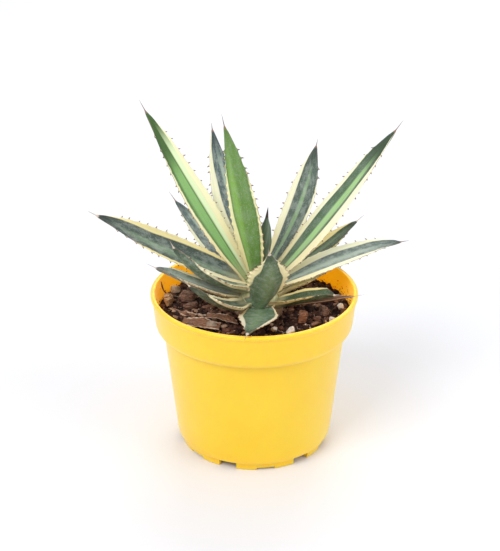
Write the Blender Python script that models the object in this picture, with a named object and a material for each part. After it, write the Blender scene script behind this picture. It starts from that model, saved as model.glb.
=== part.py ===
"""A potted agave: toothed, cream-edged leaves on a short stem, in a yellow plastic pot filled with soil.

Run with: blender --background --python part.py
Lengths below are in millimetres unless a name ends in _M; the meshes are in metres, +Z up.
The pot's axis is the Z axis, its foot stands on z = 0, and the front of the plant faces -Y.
"""

import math
from typing import NamedTuple

import bmesh
import bpy
import numpy as np
from mathutils import Matrix, Vector, noise

TO_METRES = 0.001
GAP = 0.3  # clearance between two pieces that touch

# Pot, all sizes from the lip's radius, which is a standard 12 cm nursery pot's.
SEGMENTS = 64
LIP_RADIUS = 60.0
POT_HEIGHT = 95.2
LIP_HEIGHT = 2.6
WALL = 1.6
COLLAR_TOP_RADIUS = LIP_RADIUS - 0.9
COLLAR_LOW_RADIUS = LIP_RADIUS - 2.5
COLLAR_LOW_HEIGHT = 76.0
BODY_TOP_RADIUS = 53.0
BODY_TOP_HEIGHT = 72.0
BODY_LOW_RADIUS = 45.8
BODY_LOW_HEIGHT = 7.0
FOOT_RADIUS = 43.2
FOOT_WALL = 2.4
FOOT_TOP = 4.2
FLOOR_UNDER = 5.2
FLOOR_TOP = 6.8
DRAIN_RADIUS = 7.0
NOTCHES = 6
NOTCH_WIDTH = 10.6
NOTCH_HEIGHT = 4.0
RECESS_HEIGHT = 1.2
FIRST_NOTCH_DEG = -111.0  # azimuth of the first notch, anticlockwise from +X
SOIL_HEIGHT = 82.0  # at the wall
SOIL_CROWN = 0.4  # how far the middle of the soil stands above its edge
SOIL_SLOPE = 14.0  # how far in from the wall the soil rises to its crown

# The stem's cone above the soil, which carries every leaf.
STEM_X, STEM_Y = 3.0, 0.0
STEM_TOP = 108.0
STEM_TOP_RADIUS = 5.0
STEM_FLARE = 0.36  # how much wider the cone gets for each millimetre down
STEM_LOW = 60.0
STEM_LOW_RADIUS = 2.5
STEM_NECK_RADIUS = 7.5
STEM_NECK_DEPTH = 6.0  # below the soil's surface, where the cone starts
STEM_DOME = 1.3  # how far the rounded top stands above the cone

# The furled leaf that stands on the stem's top, as (radius, height above its foot).
SPEAR_PROFILE = ((0, 0), (3.2, 0), (4.4, 8), (4.6, 16), (3.2, 24), (1.1, 30), (0, 37))
SPEAR_LEAN_DEG = 6.0

# Every leaf's cross-section and outline.
LEAF_RINGS = 12
TIP_SHARE = 0.11  # width where the end spine starts
BASE_THICKNESS, TIP_THICKNESS, DRY_THICKNESS = 3.4, 2.0, 1.4
CREASE_POWER = 1.7  # how the channel rises from the midrib to the margins
MARGIN_THINNING = 0.5  # how much thinner the leaf is at its margins than at its midrib
SPINE_MIDDLE = 0.55  # the spine's width halfway along it, as a share of its width at the foot
UPPER_STOPS = (-1.0, -0.55, 0.0, 0.55, 1.0)  # across the leaf, margin to margin
LOWER_STOPS = (0.6, 0.0, -0.6)


class Leaf(NamedTuple):
    """A leaf runs from the stem, at a height and an azimuth, through its middle to its tip."""

    name: str
    azimuth: float
    height: float
    middle: tuple
    tip: tuple
    width: float
    channel: float = 0.25  # how far the margins rise, as a share of half the width
    roll: float = 0.0
    spine: float = 6.0
    base: float = 0.45  # width at the base, as a share of the full width
    widest: float = 0.42  # where the leaf is widest, as a share of its length
    taper: float = 1.7  # how the outline narrows from there to the spine: 1 is straight
    dip: float = 0.0  # how far the spine turns up from the leaf's own line, in degrees
    dry: bool = False


LEAVES = (
    Leaf("leaf_tall_front", -105, 104, (-9, -17, 165), (-16, -20, 201), 18, spine=8),
    Leaf("leaf_tall_left", 172, 103, (-38, 9, 157), (-61, 22, 195.5), 20, 0.15, roll=30, spine=8),
    Leaf("leaf_back_tall", 108, 105, (-19, 27, 152.5), (-24, 31, 181.5), 19, 0.2, spine=4.5),
    Leaf("leaf_back_right_tall", 70, 102, (27.5, 30, 140), (36, 40, 168.5), 18, 0.15, 0, 4.5, 0.38, 0.58),
    Leaf("leaf_long_right", 12, 101, (51, 17, 146), (80.5, 31, 181), 21, 0.12, roll=-20, spine=8),
    Leaf("leaf_left_long", 163, 100, (-49, 7.5, 117.5), (-88.5, -2, 142.4), 21, roll=20, spine=6.5),
    Leaf("leaf_right", -4, 97, (45, 11.5, 107.8), (86.2, 26, 113.9), 19, roll=-18, base=0.36),
    Leaf("leaf_left_curved", 224, 99, (-25, -10.5, 106), (-45, -18, 130), 19, 0.45, 5, 7, 0.36),
    Leaf("leaf_back_left", 135, 96, (-30, 32, 114), (-47, 50, 130), 18, spine=8),
    Leaf("leaf_back_right_short", 46, 95, (40, 32, 106), (62, 50, 117), 18, spine=7),
    Leaf("leaf_front_short", -85, 92.5, (8, -26, 112), (8, -43, 137), 24, 0.4, 0, 7, 0.6, 0.5, 1.05),
    Leaf("leaf_left_low", 186, 90.7, (-30.5, -6, 100), (-56, -10, 113.8), 17, 0.35),
    Leaf("leaf_back_middle", 92, 95, (2, 38, 99), (0, 60, 104), 18, 0.3),
    Leaf("leaf_right_back_low", 20, 91, (34, 20, 95), (55, 34, 98), 17),
    Leaf("leaf_right_low", -31, 89, (31.5, -14, 96.2), (45, -22, 102.4), 18, 0.45, spine=5, base=0.6),
    Leaf("leaf_front_left_low", 226, 89.5, (-17.5, -23.3, 96), (-36, -34, 114), 18, 0.35, 4, 7, 0.55),
    Leaf("leaf_back_low_left", 150, 88, (-28, 24, 97), (-44, 38, 104), 17, 0.3),
    Leaf("leaf_back_low_right", 66, 88, (17, 32, 91), (25, 48, 96), 17, 0.3),
    Leaf("leaf_front_bottom", -90, 87, (1, -36, 91.8), (-4, -60, 97.6), 24, 0.18, 0, 6, 0.66, 0.3, 1.1, -20),
    Leaf("leaf_dry", -12, 87, (42, -12, 94), (57, -12, 96.8), 8, 0.2, spine=7, dry=True),
)


class Lump(NamedTuple):
    """A loose piece that lies on the soil: its place, its size and how far it is turned."""

    name: str
    x: float
    y: float
    length: float
    breadth: float
    depth: float
    turn: float
    colour: str


LUMP_ROUGHNESS = 0.25  # how far a lump's surface strays from a smooth one
LUMP_BUMPS = 3.0  # how many bumps there are across a lump
LUMP_SEED_STEP = 7.3  # how far apart in the noise two lumps lie
LUMPS = (
    Lump("pebble_beige", -46, 21, 6, 5, 5, 20, "beige"),
    Lump("bark_chip_tan", -50.3, 4, 5.5, 6.5, 8, 0, "tan"),
    Lump("bark_lump_left", -39, 9.5, 10, 7, 6.5, 10, "bark"),
    Lump("bark_chip_left", -36, 1, 9, 5, 4.5, 20, "bark"),
    Lump("bark_chip_front", -36, -24, 8, 5, 4, 35, "bark"),
    Lump("pebble_grey_front", -24, -25.5, 7.5, 6, 5, 0, "grey"),
    Lump("pebble_white_small", 11, -28, 3.5, 3.5, 3.5, 0, "white"),
    Lump("pebble_white_front", 20.5, -31, 5.5, 4.5, 5, 50, "white"),
    Lump("bark_chip_right", 27.5, -17, 8, 6, 7, 60, "tan"),
    Lump("pebble_white_right", 44.5, -16, 4, 3.5, 3.5, 15, "white"),
    Lump("bark_chip_far_right", 40, -6, 9, 5.5, 4.5, 95, "bark"),
    Lump("pebble_white_far_right", 50.5, 0, 4, 3.5, 3.5, 0, "white"),
    Lump("bark_chip_back", 12, 48, 11, 6, 5, 5, "bark"),
    Lump("pebble_beige_back", -21, 44, 8, 6, 5, 30, "beige"),
)


class Strand(NamedTuple):
    """A thin dry bit among the chips: the points it passes through and its radius."""

    name: str
    route: tuple
    radius: float


ON_SOIL = SOIL_HEIGHT + SOIL_CROWN + 1.0
LONG_CURL = ((-50, 0, ON_SOIL), (-44, -6, ON_SOIL), (-33, -15.5, ON_SOIL), (-26, -15, ON_SOIL))
SHORT_CURL = ((-39, -6, ON_SOIL), (-34, -8, ON_SOIL), (-29, -10.5, ON_SOIL))
TWIG = ((-51.2, 15.9, ON_SOIL), (-53.4, 14.4, 88), (-54.9, 12.9, 94.5))
STRANDS = (
    Strand("dry_curl_long", LONG_CURL, 0.7),
    Strand("dry_curl_short", SHORT_CURL, 0.6),
    Strand("twig_at_wall", TWIG, 0.7),
)

COLOURS = {
    "yellow": (0.93, 0.62, 0.06),
    "soil": (0.05, 0.03, 0.02),
    "leaf": (0.10, 0.20, 0.10),
    "stem": (0.45, 0.46, 0.22),
    "dry": (0.30, 0.15, 0.06),
    "bark": (0.13, 0.07, 0.04),
    "tan": (0.38, 0.21, 0.10),
    "beige": (0.42, 0.32, 0.22),
    "grey": (0.30, 0.26, 0.20),
    "white": (0.62, 0.58, 0.52),
}
ROUGHNESS = {"yellow": 0.35, "leaf": 0.45}


def stem_radius(height):
    """The radius of the stem's cone at a height."""
    return STEM_TOP_RADIUS + (STEM_TOP - height) * STEM_FLARE


def material_of(name, colour):
    """A material of the piece's own, in one of the model's colours."""
    material = bpy.data.materials.new(name)
    material.use_nodes = True
    shader = material.node_tree.nodes["Principled BSDF"]
    shader.inputs["Base Color"].default_value = (*COLOURS[colour], 1)
    shader.inputs["Roughness"].default_value = ROUGHNESS.get(colour, 0.8)
    return material


def add_piece(name, mesh, colour, smooth_deg=40):
    """The mesh, drawn in millimetres, as an object in metres with its own material."""
    mesh.transform(Matrix.Scale(TO_METRES, 4))
    piece = bpy.data.objects.new(name, mesh)
    bpy.context.collection.objects.link(piece)
    if colour:
        mesh.materials.append(material_of(name, colour))
        mesh.shade_smooth()
        mesh.set_sharp_from_angle(angle=math.radians(smooth_deg))
    return piece


def turned(name, profile, closed):
    """A mesh turned about the Z axis from (radius, height) points. An open profile starts and ends on it."""
    draft = bmesh.new()
    points = [draft.verts.new((radius, 0, height)) for radius, height in profile]
    pairs = list(zip(points, points[1:]))
    if closed:
        pairs.append((points[-1], points[0]))
    edges = [draft.edges.new(pair) for pair in pairs]
    bmesh.ops.spin(
        draft,
        geom=points + edges,
        axis=(0, 0, 1),
        cent=(0, 0, 0),
        steps=SEGMENTS,
        angle=math.tau,
        use_merge=True,
    )
    bmesh.ops.remove_doubles(draft, verts=draft.verts, dist=1e-4)
    bmesh.ops.recalc_face_normals(draft, faces=draft.faces)
    mesh = bpy.data.meshes.new(name)
    draft.to_mesh(mesh)
    draft.free()
    return mesh


def pot_inside():
    """The pot's inner wall from its floor up to the lip, as (radius, height)."""
    return [
        (BODY_LOW_RADIUS - WALL - 1.6, FLOOR_TOP),
        (BODY_LOW_RADIUS - WALL, FLOOR_TOP + 1.8),
        (BODY_TOP_RADIUS - WALL, BODY_TOP_HEIGHT + WALL),
        (COLLAR_LOW_RADIUS - WALL, COLLAR_LOW_HEIGHT + WALL),
        (COLLAR_TOP_RADIUS - WALL, POT_HEIGHT - LIP_HEIGHT),
    ]


def pot_outside():
    """The pot's outer wall from its foot up to the lip, as (radius, height)."""
    return [
        (FOOT_RADIUS, 0),
        (FOOT_RADIUS, FOOT_TOP),
        (BODY_LOW_RADIUS - 0.4, BODY_LOW_HEIGHT - 1.6),
        (BODY_LOW_RADIUS, BODY_LOW_HEIGHT),
        (BODY_TOP_RADIUS, BODY_TOP_HEIGHT),
        (BODY_TOP_RADIUS + 0.8, BODY_TOP_HEIGHT + 1.6),
        (COLLAR_LOW_RADIUS - 1.4, COLLAR_LOW_HEIGHT - 1.2),
        (COLLAR_LOW_RADIUS, COLLAR_LOW_HEIGHT + 0.8),
        (COLLAR_TOP_RADIUS, POT_HEIGHT - LIP_HEIGHT),
        (LIP_RADIUS - 0.3, POT_HEIGHT - LIP_HEIGHT + 0.3),
        (LIP_RADIUS, POT_HEIGHT - LIP_HEIGHT + 0.9),
        (LIP_RADIUS, POT_HEIGHT - 0.7),
        (LIP_RADIUS - 0.7, POT_HEIGHT),
        (COLLAR_TOP_RADIUS - WALL + 0.8, POT_HEIGHT),
        (COLLAR_TOP_RADIUS - WALL + 0.2, POT_HEIGHT - 0.6),
    ]


def foot_cutter():
    """Boxes across the foot ring: deep notches, and shallow recesses halfway between them."""
    draft = bmesh.new()
    middle = FOOT_RADIUS - FOOT_WALL / 2
    for step in range(2 * NOTCHES):
        top = RECESS_HEIGHT if step % 2 else NOTCH_HEIGHT
        turn = math.radians(FIRST_NOTCH_DEG + step * 180 / NOTCHES)
        place = Matrix.Rotation(turn, 4, "Z") @ Matrix.Translation((middle, 0, 0))
        size = Matrix.Diagonal((3 * FOOT_WALL, NOTCH_WIDTH, 2 * top, 1))
        bmesh.ops.create_cube(draft, size=1, matrix=place @ size)
    mesh = bpy.data.meshes.new("foot_cutter")
    draft.to_mesh(mesh)
    draft.free()
    cutter = add_piece("foot_cutter", mesh, None)
    cutter.hide_render = True
    cutter.display_type = "WIRE"
    return cutter


def build_pot():
    """The pot: a turned wall, floor and foot ring, with notches cut through the ring."""
    under = [(DRAIN_RADIUS, FLOOR_UNDER), (FOOT_RADIUS - FOOT_WALL, FLOOR_UNDER)]
    foot = [(FOOT_RADIUS - FOOT_WALL, 0)]
    inside = pot_inside()[::-1] + [(DRAIN_RADIUS, FLOOR_TOP)]
    mesh = turned("pot", under + foot + pot_outside() + inside, closed=True)
    pot = add_piece("pot", mesh, "yellow", 50)
    cut = pot.modifiers.new("foot_notches", "BOOLEAN")
    cut.operation = "DIFFERENCE"
    cut.object = foot_cutter()


def stem_profile():
    """The stem from its lower end in the soil to its top, as (radius, height)."""
    return [
        (0, STEM_LOW),
        (STEM_LOW_RADIUS, STEM_LOW + 1.5),
        (STEM_NECK_RADIUS, SOIL_HEIGHT - STEM_NECK_DEPTH),
        (stem_radius(SOIL_HEIGHT), SOIL_HEIGHT + 1),
        (STEM_TOP_RADIUS, STEM_TOP),
        (STEM_TOP_RADIUS - 2, STEM_TOP + 1),
        (0, STEM_TOP + STEM_DOME),
    ]


def build_soil():
    """The soil fills the pot to its surface, with a socket where the stem goes in."""
    wall_gap = 1.5 * GAP
    low, low_side, shoulder, collar, lip = pot_inside()
    up = (SOIL_HEIGHT - collar[1]) / (lip[1] - collar[1])
    edge = collar[0] + up * (lip[0] - collar[0]) - wall_gap
    profile = [(0, FLOOR_TOP + GAP), (low[0] - wall_gap, FLOOR_TOP + GAP)]
    profile += [(radius - wall_gap, height + GAP / 2) for radius, height in (low_side, shoulder, collar)]
    crown = SOIL_HEIGHT + SOIL_CROWN
    profile += [(edge, SOIL_HEIGHT), (edge - SOIL_SLOPE, crown), (0, crown)]
    soil = add_piece("soil", turned("soil", profile, closed=False), "soil")
    neck = [(radius + wall_gap if radius else 0, height) for radius, height in stem_profile()]
    neck[0] = (0, STEM_LOW - GAP)
    socket = add_piece("stem_socket", turned("stem_socket", neck, closed=False), None)
    socket.location = (STEM_X * TO_METRES, STEM_Y * TO_METRES, 0)
    socket.hide_render = True
    socket.display_type = "WIRE"
    cut = soil.modifiers.new("stem_socket", "BOOLEAN")
    cut.operation = "DIFFERENCE"
    cut.object = socket


def build_stem():
    """The short stem, from a blunt lower end in the soil to a low dome under the youngest leaf."""
    stem = add_piece("stem", turned("stem", stem_profile(), closed=False), "stem")
    stem.location = (STEM_X * TO_METRES, STEM_Y * TO_METRES, 0)


def build_spear():
    """The youngest leaf, still furled round itself, which stands on the stem's top."""
    mesh = turned("leaf_furled_spear", SPEAR_PROFILE, closed=False)
    lean = Matrix.Rotation(math.radians(SPEAR_LEAN_DEG), 4, "Y")
    foot = Matrix.Translation((STEM_X + 0.8, STEM_Y, STEM_TOP + STEM_DOME + 2 * GAP))
    mesh.transform(foot @ lean)
    add_piece("leaf_furled_spear", mesh, "leaf")


def leaf_base(leaf):
    """Where the leaf meets the stem's cone."""
    turn, slant = math.radians(leaf.azimuth), math.atan(STEM_FLARE)
    outward = np.array((math.cos(turn), math.sin(turn), 0))
    seat = np.array((STEM_X, STEM_Y, leaf.height)) + stem_radius(leaf.height) * outward
    facing = outward * math.cos(slant) + np.array((0, 0, math.sin(slant)))
    reach = np.array(leaf.middle) - seat
    tilt = np.linalg.norm(np.cross(reach / np.linalg.norm(reach), facing))
    half = leaf.width * leaf.base / 2
    fall = stem_radius(leaf.height) - math.sqrt(stem_radius(leaf.height) ** 2 - half**2)
    clasp = max(leaf.channel * half - fall, 0)
    return seat + facing * (2 * GAP + tilt * (BASE_THICKNESS / 2 + clasp))


def leaf_midline(leaf, stations):
    """Points and unit directions along the leaf: an arc through its base, middle and tip, evenly spaced."""
    base, middle, tip = leaf_base(leaf), np.array(leaf.middle), np.array(leaf.tip)
    first, second = np.linalg.norm(middle - base), np.linalg.norm(tip - middle)
    share = first / (first + second)
    handle = (middle - (1 - share) ** 2 * base - share**2 * tip) / (2 * share * (1 - share))
    fine = np.linspace(0, 1, 200)[:, None]
    points = (1 - fine) ** 2 * base + 2 * fine * (1 - fine) * handle + fine**2 * tip
    slopes = (1 - fine) * (handle - base) + fine * (tip - handle)
    steps = np.linalg.norm(np.diff(points, axis=0), axis=1)
    along = np.concatenate(([0], np.cumsum(steps)))
    wanted = stations * along[-1]
    points = np.column_stack([np.interp(wanted, along, column) for column in points.T])
    slopes = np.column_stack([np.interp(wanted, along, column) for column in slopes.T])
    return points, slopes / np.linalg.norm(slopes, axis=1, keepdims=True)


def leaf_frame(leaf, along):
    """Unit vectors across the leaf and out of its upper face, at each station."""
    turn, roll = math.radians(leaf.azimuth), math.radians(leaf.roll)
    level = np.array((math.sin(turn), -math.cos(turn), 0))
    across = level - (along @ level)[:, None] * along
    across /= np.linalg.norm(across, axis=1, keepdims=True)
    upward = np.cross(across, along)
    rolled = across * math.cos(roll) + upward * math.sin(roll)
    return rolled, upward * math.cos(roll) - across * math.sin(roll)


def leaf_half_width(leaf, stations):
    """Half the leaf's width: from its base it swells to the widest place, then narrows to the spine."""
    swell = leaf.base + (1 - leaf.base) * np.sin(np.pi / 2 * np.minimum(stations / leaf.widest, 1))
    past = np.clip((stations - leaf.widest) / (1 - leaf.widest), 0, 1)
    return leaf.width / 2 * np.minimum(swell, 1 - (1 - TIP_SHARE) * past**leaf.taper)


def leaf_rings(leaf):
    """The leaf's cross-sections from base to spine, each a closed loop round its channelled section."""
    stations = np.linspace(0, 1, LEAF_RINGS)
    points, along = leaf_midline(leaf, stations)
    across, upward = leaf_frame(leaf, along)
    half = leaf_half_width(leaf, stations)
    thickness = BASE_THICKNESS + (TIP_THICKNESS - BASE_THICKNESS) * stations
    if leaf.dry:
        thickness = np.full(LEAF_RINGS, DRY_THICKNESS)
    columns = [(stop, 0) for stop in UPPER_STOPS] + [(stop, 1) for stop in LOWER_STOPS]
    ring = []
    for stop, under in columns:
        rise = leaf.channel * half * abs(stop) ** CREASE_POWER
        rise = rise + thickness * (0.5 - under * (1 - stop**2)) * (1 - MARGIN_THINNING * stop**2)
        ring.append(points + across * (stop * half)[:, None] + upward * rise[:, None])
    return np.stack(ring, axis=1), points[-1], along[-1], upward[-1]


def build_leaf(leaf):
    """A leaf as one closed solid: rings of its section, drawn out at the end into the spine."""
    rings, end, along, upward = leaf_rings(leaf)
    dip = math.radians(leaf.dip)
    heading = along * math.cos(dip) + upward * math.sin(dip)
    halfway = (rings[-1] - end) * SPINE_MIDDLE + end + heading * leaf.spine / 2
    rings = np.concatenate((rings, halfway[None]))
    draft = bmesh.new()
    loops = [[draft.verts.new(point) for point in ring] for ring in rings]
    for low, high in zip(loops, loops[1:]):
        for k in range(len(low)):
            following = (k + 1) % len(low)
            draft.faces.new((low[k], low[following], high[following], high[k]))
    point = draft.verts.new(end + heading * leaf.spine)
    for k in range(len(loops[-1])):
        draft.faces.new((loops[-1][k], loops[-1][(k + 1) % len(loops[-1])], point))
    draft.faces.new(loops[0][::-1])
    bmesh.ops.recalc_face_normals(draft, faces=draft.faces)
    mesh = bpy.data.meshes.new(leaf.name)
    draft.to_mesh(mesh)
    draft.free()
    add_piece(leaf.name, mesh, "dry" if leaf.dry else "leaf")


def build_lump(lump, seed):
    """An irregular pebble or chip that lies on the soil."""
    draft = bmesh.new()
    bmesh.ops.create_icosphere(draft, subdivisions=2, radius=0.5)
    for vertex in draft.verts:
        place = vertex.co * LUMP_BUMPS + Vector((seed * LUMP_SEED_STEP, 0, 0))
        vertex.co *= 1 + LUMP_ROUGHNESS * noise.noise(place)
    bmesh.ops.scale(draft, vec=(lump.length, lump.breadth, lump.depth), verts=draft.verts)
    bmesh.ops.rotate(draft, matrix=Matrix.Rotation(math.radians(lump.turn), 3, "Z"), verts=draft.verts)
    lowest = min(vertex.co.z for vertex in draft.verts)
    seat = SOIL_HEIGHT + SOIL_CROWN + GAP - lowest
    bmesh.ops.translate(draft, vec=(lump.x, lump.y, seat), verts=draft.verts)
    mesh = bpy.data.meshes.new(lump.name)
    draft.to_mesh(mesh)
    draft.free()
    add_piece(lump.name, mesh, lump.colour)


def build_strand(strand):
    """A thin dry curl or twig: a smooth tube along its route."""
    curve = bpy.data.curves.new(strand.name, "CURVE")
    curve.dimensions = "3D"
    curve.bevel_depth = strand.radius * TO_METRES
    curve.bevel_resolution = 1
    curve.use_fill_caps = True
    curve.resolution_u = 4
    spline = curve.splines.new("BEZIER")
    spline.bezier_points.add(len(strand.route) - 1)
    for knot, place in zip(spline.bezier_points, strand.route):
        knot.co = Vector(place) * TO_METRES
        knot.handle_left_type = knot.handle_right_type = "AUTO"
    piece = bpy.data.objects.new(strand.name, curve)
    bpy.context.collection.objects.link(piece)
    curve.materials.append(material_of(strand.name, "dry"))


def main():
    for old in list(bpy.data.objects):
        bpy.data.objects.remove(old)
    build_pot()
    build_soil()
    build_stem()
    build_spear()
    for leaf in LEAVES:
        build_leaf(leaf)
    for seed, lump in enumerate(LUMPS):
        build_lump(lump, seed)
    for strand in STRANDS:
        build_strand(strand)


main()
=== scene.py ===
# %% [markdown]
# # A potted agave, dressed over its CAD frame
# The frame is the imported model: a pot, its soil, a short stem, nineteen green leaves and a
# dry one, a furled leaf, and the loose bits on the soil. It fixes every size and place. This
# file gives each of them its finished surface: channelled leaves with cream margins and
# hooked teeth, a moulded pot, a bed of crumbs and bark. It works in millimetres and writes
# metres.

# %% Load the frame
import math
from typing import NamedTuple

import bpy
import numpy as np
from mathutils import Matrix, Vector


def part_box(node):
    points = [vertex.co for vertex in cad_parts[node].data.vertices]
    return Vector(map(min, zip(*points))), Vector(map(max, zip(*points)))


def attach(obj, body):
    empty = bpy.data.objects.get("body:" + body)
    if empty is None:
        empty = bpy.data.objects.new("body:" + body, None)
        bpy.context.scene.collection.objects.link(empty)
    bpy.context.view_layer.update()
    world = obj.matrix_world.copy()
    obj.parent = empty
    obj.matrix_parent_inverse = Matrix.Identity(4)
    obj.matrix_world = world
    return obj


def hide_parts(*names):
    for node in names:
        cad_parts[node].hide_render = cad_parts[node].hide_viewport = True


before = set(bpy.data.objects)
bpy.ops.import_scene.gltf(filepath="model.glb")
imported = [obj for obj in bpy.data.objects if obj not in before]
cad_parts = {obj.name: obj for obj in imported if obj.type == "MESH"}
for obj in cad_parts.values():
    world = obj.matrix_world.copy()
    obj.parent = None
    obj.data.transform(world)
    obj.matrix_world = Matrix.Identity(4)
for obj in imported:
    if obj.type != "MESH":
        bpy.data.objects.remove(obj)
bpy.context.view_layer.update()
TO_METRES = 0.001
TO_MM = 1000.0

# %% [markdown]
# ## A place to stand
# The camera comes first, because everything is judged through it. It stands 0.8 m away and
# looks down at 25 degrees, as a person looks at a pot on a table. From closer by, the front
# leaves would look too big, and from far off the whole plant would look flattened.

# %% Camera
CAMERA_DISTANCE = 0.8
CAMERA_ELEVATION = math.radians(25.2)
AIM = (-0.00246, 0.0, 0.1043)  # in metres, as the other numbers of this cell

lens = bpy.data.cameras.new("camera")
lens.sensor_fit = "VERTICAL"
lens.sensor_height = 36.0
lens.lens = 90.8
lens.clip_start = 0.01
camera = bpy.data.objects.new("camera", lens)
camera.location = (
    AIM[0],
    -CAMERA_DISTANCE * math.cos(CAMERA_ELEVATION),
    AIM[2] + CAMERA_DISTANCE * math.sin(CAMERA_ELEVATION),
)
camera.rotation_euler = (math.pi / 2 - CAMERA_ELEVATION, 0, 0)
bpy.context.scene.collection.objects.link(camera)
bpy.context.scene.camera = camera
print("camera at", [round(x, 3) for x in camera.location])

# %% [markdown]
# ## Meshes from arrays
# Nearly every piece here is a tube of rings: a leaf, a tooth, a pebble, a twig. A tube could
# be lofted with Blender's curve tools, but a ring of points is also just a row of an array,
# so one function turns (copies, rows, columns, 3) points into closed meshes. Each ring joins
# the next, and the first and the last run to a point.


# %% Tubes of rings
def tube_faces(rows, columns):
    """Quads of a tube whose columns close round it, and triangles that fan to a point at each end."""
    row, column = np.meshgrid(np.arange(rows - 1), np.arange(columns), indexing="ij")
    here = row * columns + column
    beside = row * columns + (column + 1) % columns
    quads = np.stack((here, beside, beside + columns, here + columns), -1).reshape(-1, 4)
    ring = np.arange(columns)
    following = (ring + 1) % columns
    last_row = (rows - 1) * columns
    first_fan = np.stack((following, ring, np.full(columns, rows * columns)), -1)
    last_fan = np.stack((ring + last_row, following + last_row, np.full(columns, rows * columns + 1)), -1)
    return quads, np.concatenate((first_fan, last_fan))


def new_mesh(name, points, blocks, **fields):
    """A smooth mesh from points in millimetres and blocks of faces, each block of one kind of face.
    Each field has one number per point."""
    sizes = np.concatenate([np.full(len(block), block.shape[1]) for block in blocks])
    corners = np.concatenate([block.ravel() for block in blocks])
    mesh = bpy.data.meshes.new(name)
    mesh.vertices.add(len(points))
    mesh.vertices.foreach_set("co", (points * TO_METRES).astype(np.float32).ravel())
    mesh.loops.add(len(corners))
    mesh.loops.foreach_set("vertex_index", corners.astype(np.int32))
    mesh.polygons.add(len(sizes))
    starts = np.concatenate(([0], np.cumsum(sizes)[:-1]))
    mesh.polygons.foreach_set("loop_start", starts.astype(np.int32))
    mesh.update(calc_edges=True)
    for field, values in fields.items():
        attribute = mesh.attributes.new(field, "FLOAT", "POINT")
        attribute.data.foreach_set("value", np.asarray(values, np.float32).ravel())
    mesh.shade_smooth()
    return mesh


def add_piece(mesh, finish, nodes=()):
    """The mesh as an object that rides on the frame, in place of the CAD nodes it is named for."""
    mesh.materials.append(finish)
    piece = bpy.data.objects.new(mesh.name, mesh)
    bpy.context.scene.collection.objects.link(piece)
    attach(piece, "root")
    if nodes:
        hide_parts(*nodes)
    return piece


def add_tubes(name, rings, ends, finish, nodes=(), slot=None, **fields):
    """Closed tubes from rings (copies, rows, columns, 3) and their two end points (copies, 2, 3).
    A field has a number for each point of the rings. The end points take their ring's mean."""
    copies, rows, columns = rings.shape[:3]
    points = np.concatenate((rings.reshape(copies, -1, 3), ends), axis=1)
    step = (np.arange(copies) * points.shape[1])[:, None, None]
    blocks = [(faces[None] + step).reshape(-1, faces.shape[1]) for faces in tube_faces(rows, columns)]
    spread = {}
    for field, values in fields.items():
        values = np.broadcast_to(values, (copies, rows, columns))
        caps = values[:, [0, -1]].mean(axis=2)
        spread[field] = np.concatenate((values.reshape(copies, -1), caps), axis=1)
    mesh = new_mesh(name, points.reshape(-1, 3), blocks, **spread)
    print(f"{name}: {copies} x {rows} x {columns} points")
    return add_piece(mesh, finish, nodes)


def poles(rings):
    """The two end points of each tube: the middles of its first and its last ring."""
    return np.stack((rings[:, 0].mean(axis=1), rings[:, -1].mean(axis=1)), axis=1)


# %% Small tools for arrays
def unit(vectors):
    """The vectors, each one unit long."""
    return vectors / np.linalg.norm(vectors, axis=-1, keepdims=True)


def ease(low, high, values):
    """0 below low, 1 above high, and a smooth S between them: t * t * (3 - 2 t)."""
    t = np.clip((values - low) / (high - low), 0, 1)
    return t * t * (3 - 2 * t)


def ripple(points, pitch, seed, waves=14):
    """A smooth random height, mostly within -1 to 1: plane waves about one pitch long, added up."""
    rng = np.random.default_rng(seed)
    heading = unit(rng.normal(size=(waves, 3)))
    heading = heading * (rng.uniform(0.6, 1.5, waves) * math.tau / pitch)[:, None]
    phase = rng.uniform(0, math.tau, waves)
    return np.sin(points @ heading.T + phase).sum(axis=-1) / math.sqrt(2 * waves)


# %% [markdown]
# ## Shader maths
# A finish is a formula: "cream where the distance from the midrib is over two thirds".
# Drawn as nodes it takes twenty boxes and hides the formula. So a number that changes over
# a surface is wrapped here, and Python's own operators add the Math nodes. Colours can't go
# through a Math node, which would turn them grey, so they are mixed.


# %% A finish and its numbers
class Number:
    """A number or a colour that changes over a surface: one socket of a finish's node tree."""

    def __init__(self, finish, socket):
        self.finish, self.socket = finish, socket

    def math(self, operation, first, second=0.0):
        """A Math node on two values or numbers."""
        return self.finish.node("ShaderNodeMath", {"operation": operation}, {0: first, 1: second})

    def __add__(self, other):
        return self.math("ADD", self, other)

    def __sub__(self, other):
        return self.math("SUBTRACT", self, other)

    def __rsub__(self, other):
        return self.math("SUBTRACT", other, self)

    def __mul__(self, other):
        return self.math("MULTIPLY", self, other)

    def __abs__(self):
        return self.math("ABSOLUTE", self)

    __radd__ = __add__
    __rmul__ = __mul__

    def over(self, low, high):
        """0 where the number is under low, 1 where it is over high, and smooth between."""
        limits = {"Value": self, "From Min": low, "From Max": high}
        return self.finish.node("ShaderNodeMapRange", {"interpolation_type": "SMOOTHSTEP"}, limits)

    def near(self, centre, reach):
        """1 at the centre, falling to 0 one reach away on both sides."""
        return 1 - abs(self - centre).over(0, reach)


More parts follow.
